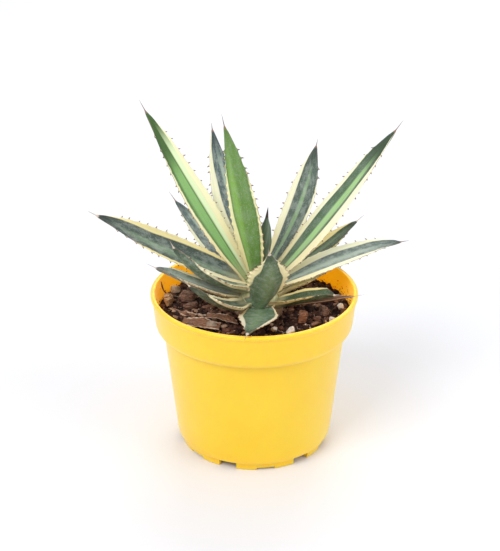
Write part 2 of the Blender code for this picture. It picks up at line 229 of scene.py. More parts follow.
class Finish:
    """A material, the one method that adds its nodes, and short names for the nodes used most."""

    def __init__(self, name, roughness=0.5, **constants):
        self.material = bpy.data.materials.new(name)
        self.material.use_nodes = True
        self.tree = self.material.node_tree
        self.shader = self.tree.nodes["Principled BSDF"]
        self.shader.inputs["Roughness"].default_value = roughness
        for socket, value in constants.items():
            self.shader.inputs[socket.replace("_", " ")].default_value = value

    def node(self, kind, settings=None, sockets=None, output=0):
        """A node with its settings made first, then its sockets given values or links."""
        made = self.tree.nodes.new(kind)
        for setting, value in (settings or {}).items():
            if setting == "stops":
                for stop in value[2:]:
                    made.color_ramp.elements.new(stop[0])
                for element, (place, colour) in zip(made.color_ramp.elements, value):
                    element.position, element.color = place, (*colour, 1)
            else:
                setattr(made, setting, value)
        for socket, value in (sockets or {}).items():
            self.feed(made.inputs[socket], value)
        return Number(self, made.outputs[output])

    def feed(self, socket, value):
        """Links a number to a socket or sets the socket's value. A colour gets its alpha of 1."""
        if isinstance(value, Number):
            self.tree.links.new(value.socket, socket)
        elif isinstance(value, tuple) and len(value) == 3 and len(socket.default_value) == 4:
            socket.default_value = (*value, 1)
        else:
            socket.default_value = value

    def field(self, name):
        """The number that the mesh keeps at each point under this name."""
        return self.node("ShaderNodeAttribute", {"attribute_name": name}, output="Fac")

    def place(self):
        """Where the point is, in millimetres."""
        coordinates = self.node("ShaderNodeTexCoord", output="Object")
        return self.node("ShaderNodeVectorMath", {"operation": "SCALE"}, {0: coordinates, "Scale": TO_MM})

    def vector(self, x, y, z):
        """Three numbers as one place in a pattern."""
        return self.node("ShaderNodeCombineXYZ", None, {0: x, 1: y, 2: z})

    def noise(self, vector, scale, detail=2.0, rough=0.5):
        """Soft random clouds from 0 to 1, mostly near 0.5, with scale clouds to each unit."""
        sockets = {"Vector": vector, "Scale": scale, "Detail": detail, "Roughness": rough}
        return self.node("ShaderNodeTexNoise", None, sockets, output="Fac")

    def mix(self, share, first, second):
        """The first colour where the share is 0, and the second where it is 1."""
        sockets = {"Factor": share, 6: first, 7: second}
        return self.node("ShaderNodeMix", {"data_type": "RGBA"}, sockets, output=2)

    def layered(self, colour, *layers):
        """The colour with layers of (share, colour) laid over it, one after the other."""
        for share, over in layers:
            colour = self.mix(share, colour, over)
        return colour

    def ramp(self, value, *stops):
        """The colour at the value, between stops of (place, colour)."""
        return self.node("ShaderNodeValToRGB", {"stops": stops}, {"Fac": value}, output="Color")

    def done(self, colour, roughness=None, bump=None, bump_mm=0.1):
        """Joins colour, roughness and bump height to the shader and gives the material."""
        self.feed(self.shader.inputs["Base Color"], colour)
        if roughness is not None:
            self.feed(self.shader.inputs["Roughness"], roughness)
        if bump is not None:
            sockets = {"Height": bump, "Distance": bump_mm * TO_METRES, "Strength": 1.0}
            bumped = self.node("ShaderNodeBump", None, sockets, output="Normal")
            self.feed(self.shader.inputs["Normal"], bumped)
        return self.material


def dimmed(colour, share):
    """The colour with each of its parts times the share."""
    return tuple(share * part for part in colour)


# %% [markdown]
# ## Where the leaves stand
# An agave's leaves leave a short stem in a spiral, each an arc from the stem to its tip. The
# arc is given with three points: where it meets the stem, its middle, and its tip. The
# CAD solids follow the same table, so each finished leaf lies over its solid. A bare row of
# numbers is easily misread, so a leaf, its faces and its colours are records with names.

# %% What describes a leaf
STEM_X, STEM_TOP, STEM_TOP_RADIUS, STEM_FLARE = 3.0, 108.0, 5.0, 0.36
HORN = (0.30, 0.17, 0.12)


class Face(NamedTuple):
    """One face of a leaf. A place across it runs from -1 to 1. Cream starts at the first number
    of cream on the - side and at the second on the + side, and further in at the base, by widen."""

    cream: tuple = (0.84, 0.84)
    widen: tuple = (0.12, 0.12)
    body: tuple = (0.15, 0.235, 0.125)
    light: tuple = (0.19, 0.30, 0.16)  # the colour of the stripe
    stripe: float = 0.0  # where across the leaf the stripe runs
    reach: float = 0.3  # how far the stripe reaches to each side
    bloom: float = 0.3  # how much grey bloom lies over the green
    fade: float = 2.0  # from here towards the + side the green fades to a milky one
    soft: float = 0.5  # how softly the stripe ends
    dusk: float = 0.8  # from here towards the tip the green darkens


class Look(NamedTuple):
    """Both faces of a leaf and the colour of its margins."""

    above: Face
    below: Face = Face()
    cream: tuple = (0.88, 0.84, 0.58)
    horn: tuple = HORN  # the colour of the end spine where it leaves the blade
    root: float = 0.6  # how pale the blade gets at its base


class Leaf(NamedTuple):
    """A leaf runs from the stem, at a height and an azimuth, through its middle to its tip. Turns
    are in degrees and lengths in millimetres."""

    name: str
    azimuth: float
    height: float
    middle: tuple
    tip: tuple
    width: float
    channel: float = 0.25  # how far the margins rise above the midrib, as a share of half the width
    roll: float = 0.0  # how far the leaf is turned about its own midline
    spine: float = 6.0  # the length of the end spine
    base: float = 0.45  # how wide the base is, as a share of the width
    widest: float = 0.42  # how far along the blade it is widest
    dip: float = 0.0  # how far the end spine turns up from the blade
    taper: float = 1.7  # how late the blade narrows
    thick: float = 1.0  # the thickness, as a share of a thick leaf's
    close: float = 0.25  # how much more the margins rise towards the tip
    look: Look = Look(Face())
    teeth: float = 5.4  # the mean distance between two teeth
    hump: float = 0.6  # how far a margin stands out under a tooth


# %% [markdown]
# ## The colours of the leaves
# No two leaves are coloured alike. Some carry a fresh green stripe between dark bands, some
# are slate grey under their bloom, and the lowest are olive and yellow. A look is a few
# numbers and colours for one finish, so a leaf that differs a little from its neighbour
# takes the same look with one thing replaced.

# %% Looks
PALE = (0.86, 0.84, 0.60)
BUTTER = (0.87, 0.76, 0.38)
IVORY = (0.74, 0.62, 0.50)
EVEN = (0.1, 0.1)
VIVID = Look(
    Face(body=(0.075, 0.145, 0.045), light=(0.30, 0.50, 0.16)),
    Face((0.90, 0.80), (0.06, 0.42), (0.12, 0.24, 0.045), (0.22, 0.42, 0.07),
         stripe=0.35, reach=0.6, bloom=0.15, dusk=0.9),
    cream=(0.84, 0.82, 0.46),
)
FOLDED_FACE = Face((0.86, 0.52), EVEN, (0.10, 0.22, 0.05), (0.25, 0.49, 0.15),
                   stripe=-0.28, reach=0.75, bloom=0.03, fade=0.04, soft=0.25, dusk=0.6)
FOLDED = Look(FOLDED_FACE, cream=(0.86, 0.83, 0.52))
STRIPED_FACE = Face((0.66, 0.60), EVEN, (0.08, 0.14, 0.075), (0.38, 0.62, 0.25),
                    stripe=0.20, reach=0.46, bloom=0.15, soft=0.3, dusk=0.7)
STRIPED = Look(STRIPED_FACE, cream=PALE)
GREY_FACE = Face((0.50, 0.70), EVEN, (0.13, 0.175, 0.155), (0.34, 0.42, 0.33),
                 stripe=0.2, reach=0.42, bloom=0.5)
GREY = Look(GREY_FACE, cream=PALE)
SLATE_FACE = Face((0.42, 0.84), EVEN, (0.09, 0.13, 0.13), (0.40, 0.50, 0.40),
                  stripe=0.3, reach=0.36, bloom=0.5)
SLATE = Look(SLATE_FACE, cream=PALE)
SLATE_BROAD = SLATE._replace(above=SLATE_FACE._replace(cream=(0.70, 0.90)))
DUSKY_FACE = Face((0.52, 0.84), EVEN, (0.080, 0.115, 0.092), (0.24, 0.38, 0.19),
                  stripe=0.12, reach=0.26, bloom=0.35, soft=0.35)
DUSKY = Look(DUSKY_FACE, cream=PALE)
LONG_FACE = Face((0.90, 0.54), (0.1, -0.2), (0.065, 0.09, 0.078), (0.18, 0.27, 0.16),
                 stripe=-0.3, reach=0.5, bloom=0.35)
LONG = Look(LONG_FACE, cream=BUTTER, horn=IVORY)
LOW = Look(
    Face((0.84, 0.62), (0.1, 0.2), (0.095, 0.14, 0.10), (0.18, 0.27, 0.15), reach=0.4, bloom=0.45),
    Face((0.90, 0.90), EVEN, (0.085, 0.14, 0.085), (0.13, 0.21, 0.115), reach=0.5, bloom=0.35),
    horn=IVORY,
)
PALE_FACE = Face((0.88, 0.66), (0.1, 0.2), (0.19, 0.24, 0.19), (0.40, 0.48, 0.38),
                 stripe=-0.1, reach=0.7, bloom=0.6)
DARK_FACE = Face((0.82, 0.70), (0.1, 0.2), (0.060, 0.085, 0.045), (0.11, 0.16, 0.08),
                 reach=0.4, bloom=0.25)
LOW_PALE, LOW_DARK = (LOW._replace(above=face, below=face) for face in (PALE_FACE, DARK_FACE))
OLIVE_FACE = Face((0.3, 0.86), (0.2, 0.1), (0.055, 0.09, 0.035), (0.12, 0.19, 0.08),
                  stripe=0.1, reach=0.3, bloom=0.1)
OLIVE = Look(
    OLIVE_FACE,
    Face((0.90, 0.90), EVEN, (0.055, 0.10, 0.04), (0.10, 0.17, 0.07), reach=0.5, bloom=0.2),
    cream=(0.84, 0.69, 0.30),
    horn=IVORY,
)
OLIVE_WIDE = OLIVE._replace(above=OLIVE_FACE._replace(cream=(0.5, 0.5)))
OLIVE_DARK = OLIVE._replace(above=OLIVE_FACE._replace(cream=(0.74, 0.90), widen=(0.1, 0.05)))
SHORT_FACE = Face((0.76, 0.70), (-0.15, -0.1), (0.10, 0.165, 0.085), (0.18, 0.27, 0.13),
                  reach=0.6, bloom=0.35)
SHORT = Look(SHORT_FACE, SHORT_FACE, cream=(0.84, 0.76, 0.58), horn=IVORY, root=0.0)
SPECKLED_FACE = SHORT_FACE._replace(cream=(0.66, 0.62), widen=(-0.1, -0.4))
SPECKLED = SHORT._replace(below=SPECKLED_FACE, cream=(0.86, 0.80, 0.48))

# %% The table of leaves
LEAVES = (
    Leaf("leaf_tall_front", -105, 104, (-9, -17, 165), (-16, -20, 201), 18,
         spine=8, look=VIVID, teeth=5.2),
    Leaf("leaf_tall_left", 172, 103, (-38, 9, 157), (-61, 22, 195.5), 20,
         channel=0.15, roll=30, spine=8, look=FOLDED),
    Leaf("leaf_back_tall", 108, 105, (-19, 27, 152.5), (-24, 31, 181.5), 19,
         channel=0.2, spine=4.5, look=SLATE),
    Leaf("leaf_back_right_tall", 70, 102, (27.5, 30, 140), (36, 40, 168.5), 18,
         channel=0.15, spine=4.5, base=0.38, widest=0.58, look=DUSKY),
    Leaf("leaf_long_right", 12, 101, (51, 17, 146), (80.5, 31, 181), 21,
         channel=0.12, roll=-20, spine=8, look=STRIPED),
    Leaf("leaf_left_long", 163, 100, (-49, 7.5, 117.5), (-88.5, -2, 142.4), 21,
         roll=20, spine=6.5, look=LONG),
    Leaf("leaf_right", -4, 97, (45, 11.5, 107.8), (86.2, 26, 113.9), 19,
         roll=-18, base=0.36, look=GREY),
    Leaf("leaf_left_curved", 224, 99, (-25, -10.5, 106), (-45, -18, 130), 19,
         channel=0.45, roll=5, spine=7, base=0.36, look=LOW, hump=0.9),
    Leaf("leaf_back_left", 135, 96, (-30, 32, 114), (-47, 50, 130), 18, spine=8, look=SLATE_BROAD),
    Leaf("leaf_back_right_short", 46, 95, (40, 32, 106), (62, 50, 117), 18, spine=7, look=OLIVE),
    Leaf("leaf_front_short", -85, 92.5, (8, -26, 112), (8, -43, 137), 24,
         channel=0.4, spine=7, base=0.6, widest=0.5, taper=1.0, close=-0.35, look=SPECKLED,
         teeth=4.6, hump=1.1),
    Leaf("leaf_left_low", 186, 90.7, (-30.5, -6, 100), (-56, -10, 113.8), 17,
         channel=0.35, look=LOW_PALE),
    Leaf("leaf_back_middle", 92, 95, (2, 38, 99), (0, 60, 104), 18, channel=0.3, look=DUSKY),
    Leaf("leaf_right_back_low", 20, 91, (34, 20, 95), (55, 34, 98), 17, look=OLIVE_WIDE),
    Leaf("leaf_right_low", -31, 89, (31.5, -14, 96.2), (45, -22, 102.4), 18,
         channel=0.45, spine=5, base=0.6, look=OLIVE_DARK, hump=0.8),
    Leaf("leaf_front_left_low", 226, 89.5, (-17.5, -23.3, 96), (-36, -34, 114), 18,
         channel=0.35, roll=4, spine=7, base=0.55, look=LOW_DARK, hump=0.8),
    Leaf("leaf_back_low_left", 150, 88, (-28, 24, 97), (-44, 38, 104), 17, channel=0.3, look=SLATE),
    Leaf("leaf_back_low_right", 66, 88, (17, 32, 91), (25, 48, 96), 17, channel=0.3, look=DUSKY),
    Leaf("leaf_front_bottom", -90, 87, (1, -36, 91.8), (-4, -60, 97.6), 24,
         channel=0.18, base=0.66, widest=0.3, dip=-20, taper=1.1, look=SHORT),
)
DRY_LEAF = Leaf("leaf_dry", -12, 87, (42, -12, 94), (57, -12, 96.8), 8,
                channel=0.45, spine=7, thick=0.3, teeth=9, hump=0.3)
print(len(LEAVES), "green leaves, of", len({leaf.look for leaf in LEAVES}), "looks, and a dry one")

# %% [markdown]
# ## The shape of a leaf
# A leaf is a section carried along its arc. The section is a shallow channel: its margins
# rise above the midrib, it is thickest in the middle, and its edges are round. Along the way
# it clasps the stem, swells, tapers and ends in a needle. Subdivision of a coarse cage could
# give that too, but the margins swell under every tooth, which asks for a ring each half
# millimetre, so the whole leaf is worked out at once.

# %% The midline
LEAF_FOOT = 2.0  # how far outside the stem a leaf's arc begins
ARC_POINTS = 300


def leaf_line(leaf):
    """Points and directions on a parabola through base, middle and tip, and the way gone at each.
    With a share t it is (1-t)^2 base + 2t(1-t) handle + t^2 tip, bent so that it meets the middle."""
    turn = math.radians(leaf.azimuth)
    reach = STEM_TOP_RADIUS + (STEM_TOP - leaf.height) * STEM_FLARE + LEAF_FOOT
    base = np.array((STEM_X + reach * math.cos(turn), reach * math.sin(turn), leaf.height))
    middle, tip = np.array(leaf.middle), np.array(leaf.tip)
    first, second = np.linalg.norm(middle - base), np.linalg.norm(tip - middle)
    share = first / (first + second)
    handle = (middle - (1 - share) ** 2 * base - share**2 * tip) / (2 * share * (1 - share))
    fine = np.linspace(0, 1, ARC_POINTS)[:, None]
    points = (1 - fine) ** 2 * base + 2 * fine * (1 - fine) * handle + fine**2 * tip
    slopes = unit((1 - fine) * (handle - base) + fine * (tip - handle))
    gone = np.concatenate(([0], np.cumsum(np.linalg.norm(np.diff(points, axis=0), axis=1))))
    return points, slopes, gone


def leaf_length(leaf):
    """The way from base to tip along the midline."""
    return leaf_line(leaf)[2][-1]


def leaf_arc(leaf, distance):
    """The midline's points and directions at distances from the base. Before the base and past
    the tip it runs straight on, by the distance that is given third."""
    points, slopes, gone = leaf_line(leaf)
    inside = np.clip(distance, 0, gone[-1])
    heading = unit(np.column_stack([np.interp(inside, gone, column) for column in slopes.T]))
    on_arc = np.column_stack([np.interp(inside, gone, column) for column in points.T])
    return on_arc, heading, (distance - inside)[:, None]


def leaf_frame(leaf, distance, length):
    """The midline's points with the directions along, across and out of the upper face there."""
    points, along, beyond = leaf_arc(leaf, distance)
    turn, roll = math.radians(leaf.azimuth), math.radians(leaf.roll)
    level = np.array((math.sin(turn), -math.cos(turn), 0))
    across = unit(level - (along @ level)[:, None] * along)
    upward = np.cross(across, along)
    across, upward = (
        across * math.cos(roll) + upward * math.sin(roll),
        upward * math.cos(roll) - across * math.sin(roll),
    )
    dip = math.radians(leaf.dip)
    heading = np.where(distance[:, None] > length, along * math.cos(dip) + upward * math.sin(dip), along)
    return points + heading * beyond, along, across, upward


# %% The outline
ROOT = 5.0  # how far a leaf's base runs into the stem
BASE_THICKNESS, TIP_THICKNESS = 4.2, 1.8
TIP_SHARE = 0.075  # how wide the blade still is where the end spine begins
TEETH_FROM, TEETH_TO = 0.14, 0.88  # the part of a margin that bears teeth
HUMP_REACH = 0.85


def leaf_outline(leaf, distance, length):
    """Half the width, the channel's rise as a share of it, the thickness, and how far along the end
    spine it is, at each distance. The blade swells as a sine, then narrows as 1 - x^taper."""
    share = np.clip(distance / length, 0, 1)
    swell = leaf.base + (1 - leaf.base) * np.sin(np.pi / 2 * np.minimum(share / leaf.widest, 1))
    past = np.clip((share - leaf.widest) / (1 - leaf.widest), 0, 1)
    half = leaf.width / 2 * np.minimum(swell, 1 - (1 - TIP_SHARE) * past**leaf.taper)
    needle = np.clip((distance - length) / leaf.spine, 0, 1)
    root_swell = 1 + 0.3 * ease(0, ROOT, -distance)
    shoulder = 1 - 0.5 * ease(-0.05, 0.15, needle)
    half = half * root_swell * shoulder * (1 - 0.92 * needle)
    thickness = leaf.thick * (BASE_THICKNESS + (TIP_THICKNESS - BASE_THICKNESS) * share**0.8)
    thickness = thickness + (1.5 * half - thickness) * ease(0.9, 1.0, share)
    clasp = 0.25 * (1 - ease(0, 0.2, share))
    closing = leaf.close * ease(0.55, 0.95, share)
    channel = (leaf.channel + clasp + closing) * (1 - ease(0.96, 1.0, share))
    return half, channel, thickness, needle


def tooth_places(leaf, length, rng):
    """Distances of the teeth along one margin, evenly spread with a little chance."""
    first, last = TEETH_FROM * length, TEETH_TO * length
    count = max(int((last - first) / leaf.teeth), 2)
    spread = (np.arange(count) + 0.5 + rng.uniform(-0.28, 0.28, count)) / count
    return first + spread * (last - first)


def margin_swell(distance, places, height):
    """How far a margin stands out under its teeth: a small round hump at each."""
    return height * np.exp(-(((distance[:, None] - places) / HUMP_REACH) ** 2)).sum(axis=1)


# %% The rings of a leaf
RING_STEP = 0.55
SPINE_ROWS = 14
HALF_COLUMNS = 24  # the faces across one side of a leaf
WAVE_PITCH = 26  # the length of the soft waves in a margin
SPINE_CAP = 0.1  # how far the last point stands out past the last ring


def leaf_rings(leaf, seed, teeth, wave=0.5):
    """The closed rings of a leaf, its ends, and the fields that its finish reads. Across a ring the
    sideways place is a sine, and the height is the channel's rise plus or minus half the thickness."""
    length = leaf_length(leaf)
    blade = np.linspace(-ROOT, length, int((length + ROOT) / RING_STEP))
    distance = np.concatenate((blade, length + leaf.spine * np.linspace(0, 1, SPINE_ROWS)[1:]))
    points, along, across, upward = leaf_frame(leaf, distance, length)
    half, channel, thickness, needle = leaf_outline(leaf, distance, length)
    sweep = np.linspace(-np.pi / 2, np.pi / 2, HALF_COLUMNS + 1)
    place = np.concatenate((np.sin(sweep), -np.sin(sweep[1:-1])))
    below = np.concatenate((np.zeros(len(sweep)), np.ones(len(sweep) - 2)))
    out = np.abs(place)
    sides = [margin_swell(distance, places, leaf.hump)[:, None] for places in teeth]
    hump = np.where(place > 0, sides[1], sides[0]) * ease(0.75, 1, out) * (half > 2)[:, None]
    undulate = ripple(np.column_stack((distance, np.zeros((len(distance), 2)))), WAVE_PITCH, seed)
    undulate = undulate[:, None] * wave * out**3 * np.sign(place) * ease(2, 6, half)[:, None]
    body = thickness[:, None] / 2 * np.sqrt(1 - place**4) * (1 - 0.4 * place**2)
    rise = channel[:, None] * half[:, None] * out**1.5 + undulate + np.where(below, -body, body)
    sideways = half[:, None] * place + np.sign(place) * hump
    rings = points[:, None] + across[:, None] * sideways[..., None] + upward[:, None] * rise[..., None]
    ends = np.stack((points[0], points[-1] + along[-1] * SPINE_CAP))
    fields = {
        "across": np.broadcast_to(place, rise.shape),
        "below": np.broadcast_to(below, rise.shape),
        "along": np.broadcast_to(np.clip(distance / length, 0, 1)[:, None], rise.shape),
        "needle": np.broadcast_to(needle[:, None], rise.shape),
    }
    return rings, ends, fields


# %% [markdown]
# ## Teeth
# Along each margin stand hooked horny teeth, one or two millimetres long. Each could be a
# copy of one object, but then it would stand at the wrong slant where the margin turns, so
# the teeth of a leaf are worked out together, each in the leaf's own directions at its foot.

# %% Teeth
TOOTH_ROWS, TOOTH_COLUMNS = 6, 8
TOOTH_RADIUS = 0.42  # at the foot, before it is drawn out along the margin and flattened


def tooth_rings(leaf, places, side, rng):
    """Hooked cones along one margin: each leaves the margin outwards and bends back to the base,
    by the square of the way along it."""
    length = leaf_length(leaf)
    points, along, across, upward = leaf_frame(leaf, places, length)
    half, channel, _, _ = leaf_outline(leaf, places, length)
    steep = (1.5 * channel)[:, None]
    out = unit(side * across + upward * steep * 0.8)
    foot = points + side * across * (half + leaf.hump * 0.8)[:, None] + upward * (channel * half)[:, None]
    size = rng.uniform(1.4, 2.1, len(places)) * ease(0, 0.3, places / length) ** 0.3
    reach = np.linspace(0, 1, TOOTH_ROWS)[None, :, None, None] ** 0.8
    turn = np.linspace(0, math.tau, TOOTH_COLUMNS, endpoint=False)
    tall, bend = size[:, None, None, None], rng.uniform(0.1, 0.5, (len(places), 1, 1, 1))

    def each(vectors):
        """One vector per tooth, ready to be spread over its rings and their points."""
        return vectors[:, None, None, :]

    line = each(foot - 0.5 * out) + each(out) * reach * tall - each(along) * bend * tall * reach**2
    radius = TOOTH_RADIUS * (1 - 0.93 * reach)
    skin = each(side * along) * np.cos(turn)[:, None] * 1.5 + each(upward) * np.sin(turn)[:, None] * 0.8
    rings = line + radius * skin
    ends = np.stack((rings[:, 0].mean(axis=1), rings[:, -1].mean(axis=1) + 0.05 * out), axis=1)
    return rings, ends, np.broadcast_to(reach[..., 0], rings.shape[:3])


# %% [markdown]
# ## The skin of a leaf
# The blade is dark green with a paler stripe down its middle and broad cream margins. The
# borders between them are ragged, because the colours grow in long thin streaks, and a grey
# bloom lies over the green in patches. All of it follows the leaf, so the finish reads the
# fields that the rings carry, not where the leaf is in space. The colours are laid one over
# the other, as a painter would: green, stripe, dark border, fibres, bloom, then cream.

# %% The skin of one face
TIP_BROWN = (0.045, 0.022, 0.018)
MILKY = (0.68, 0.80, 0.48)
BLOOM = (0.42, 0.47, 0.42)
AMBER = (0.78, 0.60, 0.24)
ROOT_PALE = (0.50, 0.46, 0.27)
RAGGED = 0.17  # how far the streaks move a border across the leaf


class Grain(NamedTuple):
    """The patterns that both faces of a leaf share: long streaks, fine fibres, patches and specks."""

    streak: Number
    fibre: Number
    patch: Number
    speck: Number


def face_skin(finish, face, cream, across, along, grain):
    """The colour of one face, and how cream it is from 0 to 1. The cream starts where the face says,
    moved a little by the streaks, further in at the base and further out at the tip."""
    plus_side = across.over(-0.02, 0.02)
    ragged = abs(across) + (grain.streak - 0.5) * RAGGED
    dark = dimmed(face.body, 0.6)
    start = face.cream[0] + (face.cream[1] - face.cream[0]) * plus_side
    widen = face.widen[0] + (face.widen[1] - face.widen[0]) * plus_side
    start = start - (1 - along.over(0.0, 0.75)) * widen + along.over(0.6, 1.0) * 0.35
    margin = ragged.over(start - 0.03, start + 0.05)
    stripe = (across + (grain.streak - 0.5) * 0.18).near(face.stripe, face.reach)
    stripe = stripe.over(0.5 - face.soft, 0.5 + face.soft) * (1 - along.over(0.66, 0.97))
    stripe = stripe * (0.5 + grain.fibre * 0.8)
    milky = (across + (grain.streak - 0.5) * 0.06).over(face.fade, face.fade + 0.16)
    green = finish.layered(
        face.body,
        (stripe, face.light),
        (ragged.over(start - 0.20, start - 0.04) * 0.55, dark),
        (grain.fibre.over(0.50, 0.72) * 0.5, dark),
        (grain.patch.over(0.42, 0.62) * face.bloom, BLOOM),
        (grain.speck.over(0.52, 0.66) * 0.28, BLOOM),
        (along.over(face.dusk, face.dusk + 0.2) * 0.85, dimmed(face.body, 0.4)),
        # painted shade: a thin dark line along the fold, where a folded leaf's crease lies in shade
        (across.near(face.fade, 0.10) * 0.7, dark),
        (milky * (1 - along.over(0.72, 0.95)), MILKY),
    )
    ripe = finish.mix(grain.streak.over(0.35, 0.75) * 0.45, cream, dimmed(cream, 0.78))
    return finish.mix(margin, green, ripe), margin


# %% Leaf and tooth finishes
def leaf_finish(name, look, seed):
    """Both faces, then amber margins, a pale base, a horny edge, a few scars and the end spine."""
    finish = Finish(name, 0.42, IOR=1.45, Specular_IOR_Level=0.3)
    across, along = finish.field("across"), finish.field("along")
    below, needle = finish.field("below"), finish.field("needle")
    grain = Grain(
        finish.noise(finish.vector(across * 7, along * 3, seed), 1.0, 3),
        finish.noise(finish.vector(across * 40, along * 6, seed + 9), 1.0, 3),
        finish.noise(finish.vector(across * 2.5, along * 14, seed + 4), 1.0, 5, 0.72),
        finish.noise(finish.place(), 1.5, 3, 0.7),
    )
    above_skin, above_margin = face_skin(finish, look.above, look.cream, across, along, grain)
    below_skin, below_margin = face_skin(finish, look.below, look.cream, across, along, grain)
    margin = above_margin + (below_margin - above_margin) * below
    edge = abs(across).over(0.955, 0.99)
    scar = grain.patch.over(0.70, 0.74) * grain.streak.over(0.5, 0.6)
    spine = finish.ramp(needle, (0.0, look.horn), (0.5, dimmed(look.horn, 0.6)), (1.0, TIP_BROWN))
    colour = finish.layered(
        above_skin,
        (below, below_skin),
        (margin * (1 - along.over(0.15, 0.5)) * 0.45, AMBER),
        ((1 - along.over(0.0, 0.16)) * look.root, ROOT_PALE),
        (edge * grain.patch.over(0.42, 0.55) * 0.75, HORN),
        (scar * 0.7, HORN),
        (along.over(0.985, 1.0) * 0.8 + needle, spine),
    )
    rough = 0.40 + grain.fibre * 0.15 + margin * 0.08
    return finish.done(colour, rough, grain.fibre + grain.streak * 0.7, 0.12)


def tooth_finish():
    """Horn: cream like the margin at its foot and nearly black from half way to the tip."""
    finish = Finish("tooth horn", 0.4)
    foot, red_brown = (0.0, (0.78, 0.70, 0.42)), (0.22, (0.50, 0.30, 0.17))
    dark = (0.42, (0.11, 0.05, 0.035))
    return finish.done(finish.ramp(finish.field("tip"), foot, red_brown, dark, (1.0, TIP_BROWN)))


# %% Make the leaves
tooth_horn = tooth_finish()
for number, leaf in enumerate(LEAVES):
    rng = np.random.default_rng(100 + number)
    length = leaf_length(leaf)
    teeth = [tooth_places(leaf, length, rng) for _ in range(2)]
    rings, ends, fields = leaf_rings(leaf, number, teeth)
    skin = leaf_finish(leaf.name + " skin", leaf.look, 3.7 * number)
    add_tubes("skin_" + leaf.name, rings[None], ends[None], skin, [leaf.name], "green_leaf", **fields)
    hooks = [tooth_rings(leaf, places, side, rng) for places, side in zip(teeth, (-1, 1))]
    rings, ends, tips = (np.concatenate(parts) for parts in zip(*hooks))
    add_tubes("teeth_" + leaf.name, rings, ends, tooth_horn, slot="dry_leaf", tip=tips)

# %% [markdown]
# ## The dry leaf
# The lowest leaf on the right has died: it is brown, thin as paper, and its margins have
# curled up. It is the same surface with other numbers, a stronger channel and bigger waves.

# %% Dry leaf
def withered_finish(name, dark, light, edge_colour):
    """Dead leaf: brown, with long ridges, and pale where the dry margin has turned up."""
    finish = Finish(name, 0.7)
    across, along = finish.field("across"), finish.field("along")
    ridge = finish.noise(finish.vector(across * 9, along * 2.5, 0.0), 1.0, 4, 0.6)
    blotch = finish.noise(finish.place(), 0.35, 3)
    margin = abs(across).over(0.80, 0.93) * (0.4 + blotch * 0.8)
    ridged, blotched = (ridge.over(0.35, 0.7), light), (blotch.over(0.5, 0.7) * 0.5, dark)
    brown = finish.layered(dark, ridged, blotched, (margin, edge_colour))
    return finish.done(brown, 0.75, ridge, 0.3)


withered = withered_finish("withered leaf", (0.085, 0.036, 0.018), (0.26, 0.12, 0.055), (0.62, 0.52, 0.40))
DRY_SEED, DRY_WAVE = 60, 1.4
rng = np.random.default_rng(DRY_SEED)
length = leaf_length(DRY_LEAF)
teeth = [tooth_places(DRY_LEAF, length, rng) for _ in range(2)]
rings, ends, fields = leaf_rings(DRY_LEAF, DRY_SEED, teeth, DRY_WAVE)
add_tubes("skin_leaf_dry", rings[None], ends[None], withered, ["leaf_dry"], "dry_leaf", **fields)

# %% [markdown]
# ## The furled leaf
# The youngest leaf stands in the middle, still rolled round itself like a scroll. Going once
# round it the surface creeps outwards, so the last edge stands a little proud of the first:
# that step is the seam, and the cream margin shows beside it.

# %% Furled leaf
SPEAR_RADII = ((0, 3.2), (8, 4.4), (16, 4.6), (24, 3.2), (30, 1.1), (37, 0.12))  # (height, radius)
SPEAR_LEAN = math.radians(6.0)
SPEAR_FOOT = (STEM_X + 0.8, 0, STEM_TOP + 1.9)


def scroll_rings(rows=70, columns=72):
    """Rings whose radius grows from 0.88 of the whole at the seam to all of it once round."""
    heights, radii = np.array(SPEAR_RADII).T
    z = np.linspace(0, heights[-1], rows)
    turn = np.linspace(0, 1, columns, endpoint=False)
    radius = np.interp(z, heights, radii)[:, None] * (0.88 + 0.12 * turn)
    angle = math.tau * turn + 0.5 + 0.03 * z[:, None]
    x, y = radius * np.cos(angle), radius * np.sin(angle)
    up = np.broadcast_to(z[:, None], x.shape)
    sin, cos = math.sin(SPEAR_LEAN), math.cos(SPEAR_LEAN)
    rings = np.stack((x * cos + up * sin, y, up * cos), axis=-1) + SPEAR_FOOT
    return rings, {"across": np.broadcast_to(turn, x.shape), "along": up / heights[-1]}


def furled_finish():
    """Dark green with long streaks, cream for the last part before the seam, and a brown tip."""
    finish = Finish("furled leaf", 0.42)
    across, along = finish.field("across"), finish.field("along")
    streak = finish.noise(finish.vector(across * 12, along * 2, 1.0), 1.0, 3)
    green = finish.mix(streak.over(0.35, 0.7), (0.06, 0.095, 0.06), (0.13, 0.19, 0.11))
    cream = (across + streak * 0.08).over(0.84, 0.88)
    skin = finish.mix(cream, green, PALE)
    tip = along.over(0.80, 0.86)
    return finish.done(finish.mix(tip, skin, TIP_BROWN), 0.42, streak, 0.1)


rings, fields = scroll_rings()
rings = rings[None]
add_tubes("furled_leaf", rings, poles(rings), furled_finish(), ["leaf_furled_spear"], "green_leaf", **fields)

# %% [markdown]
# ## The stem
# Under the leaves is a short thick stem, a cone that widens downwards and ends in the soil
# as a plug. Only glimpses of it show between the leaf bases, but those must not be black
# gaps, so it is a turned shape with the low ridges that old leaves leave when they fall.

# %% Stem
STEM_FOOT, STEM_NECK, STEM_IN_SOIL = 62, 76, 82
FOOT_RADIUS_IN_SOIL, NECK_RADIUS = 2.5, 7.5


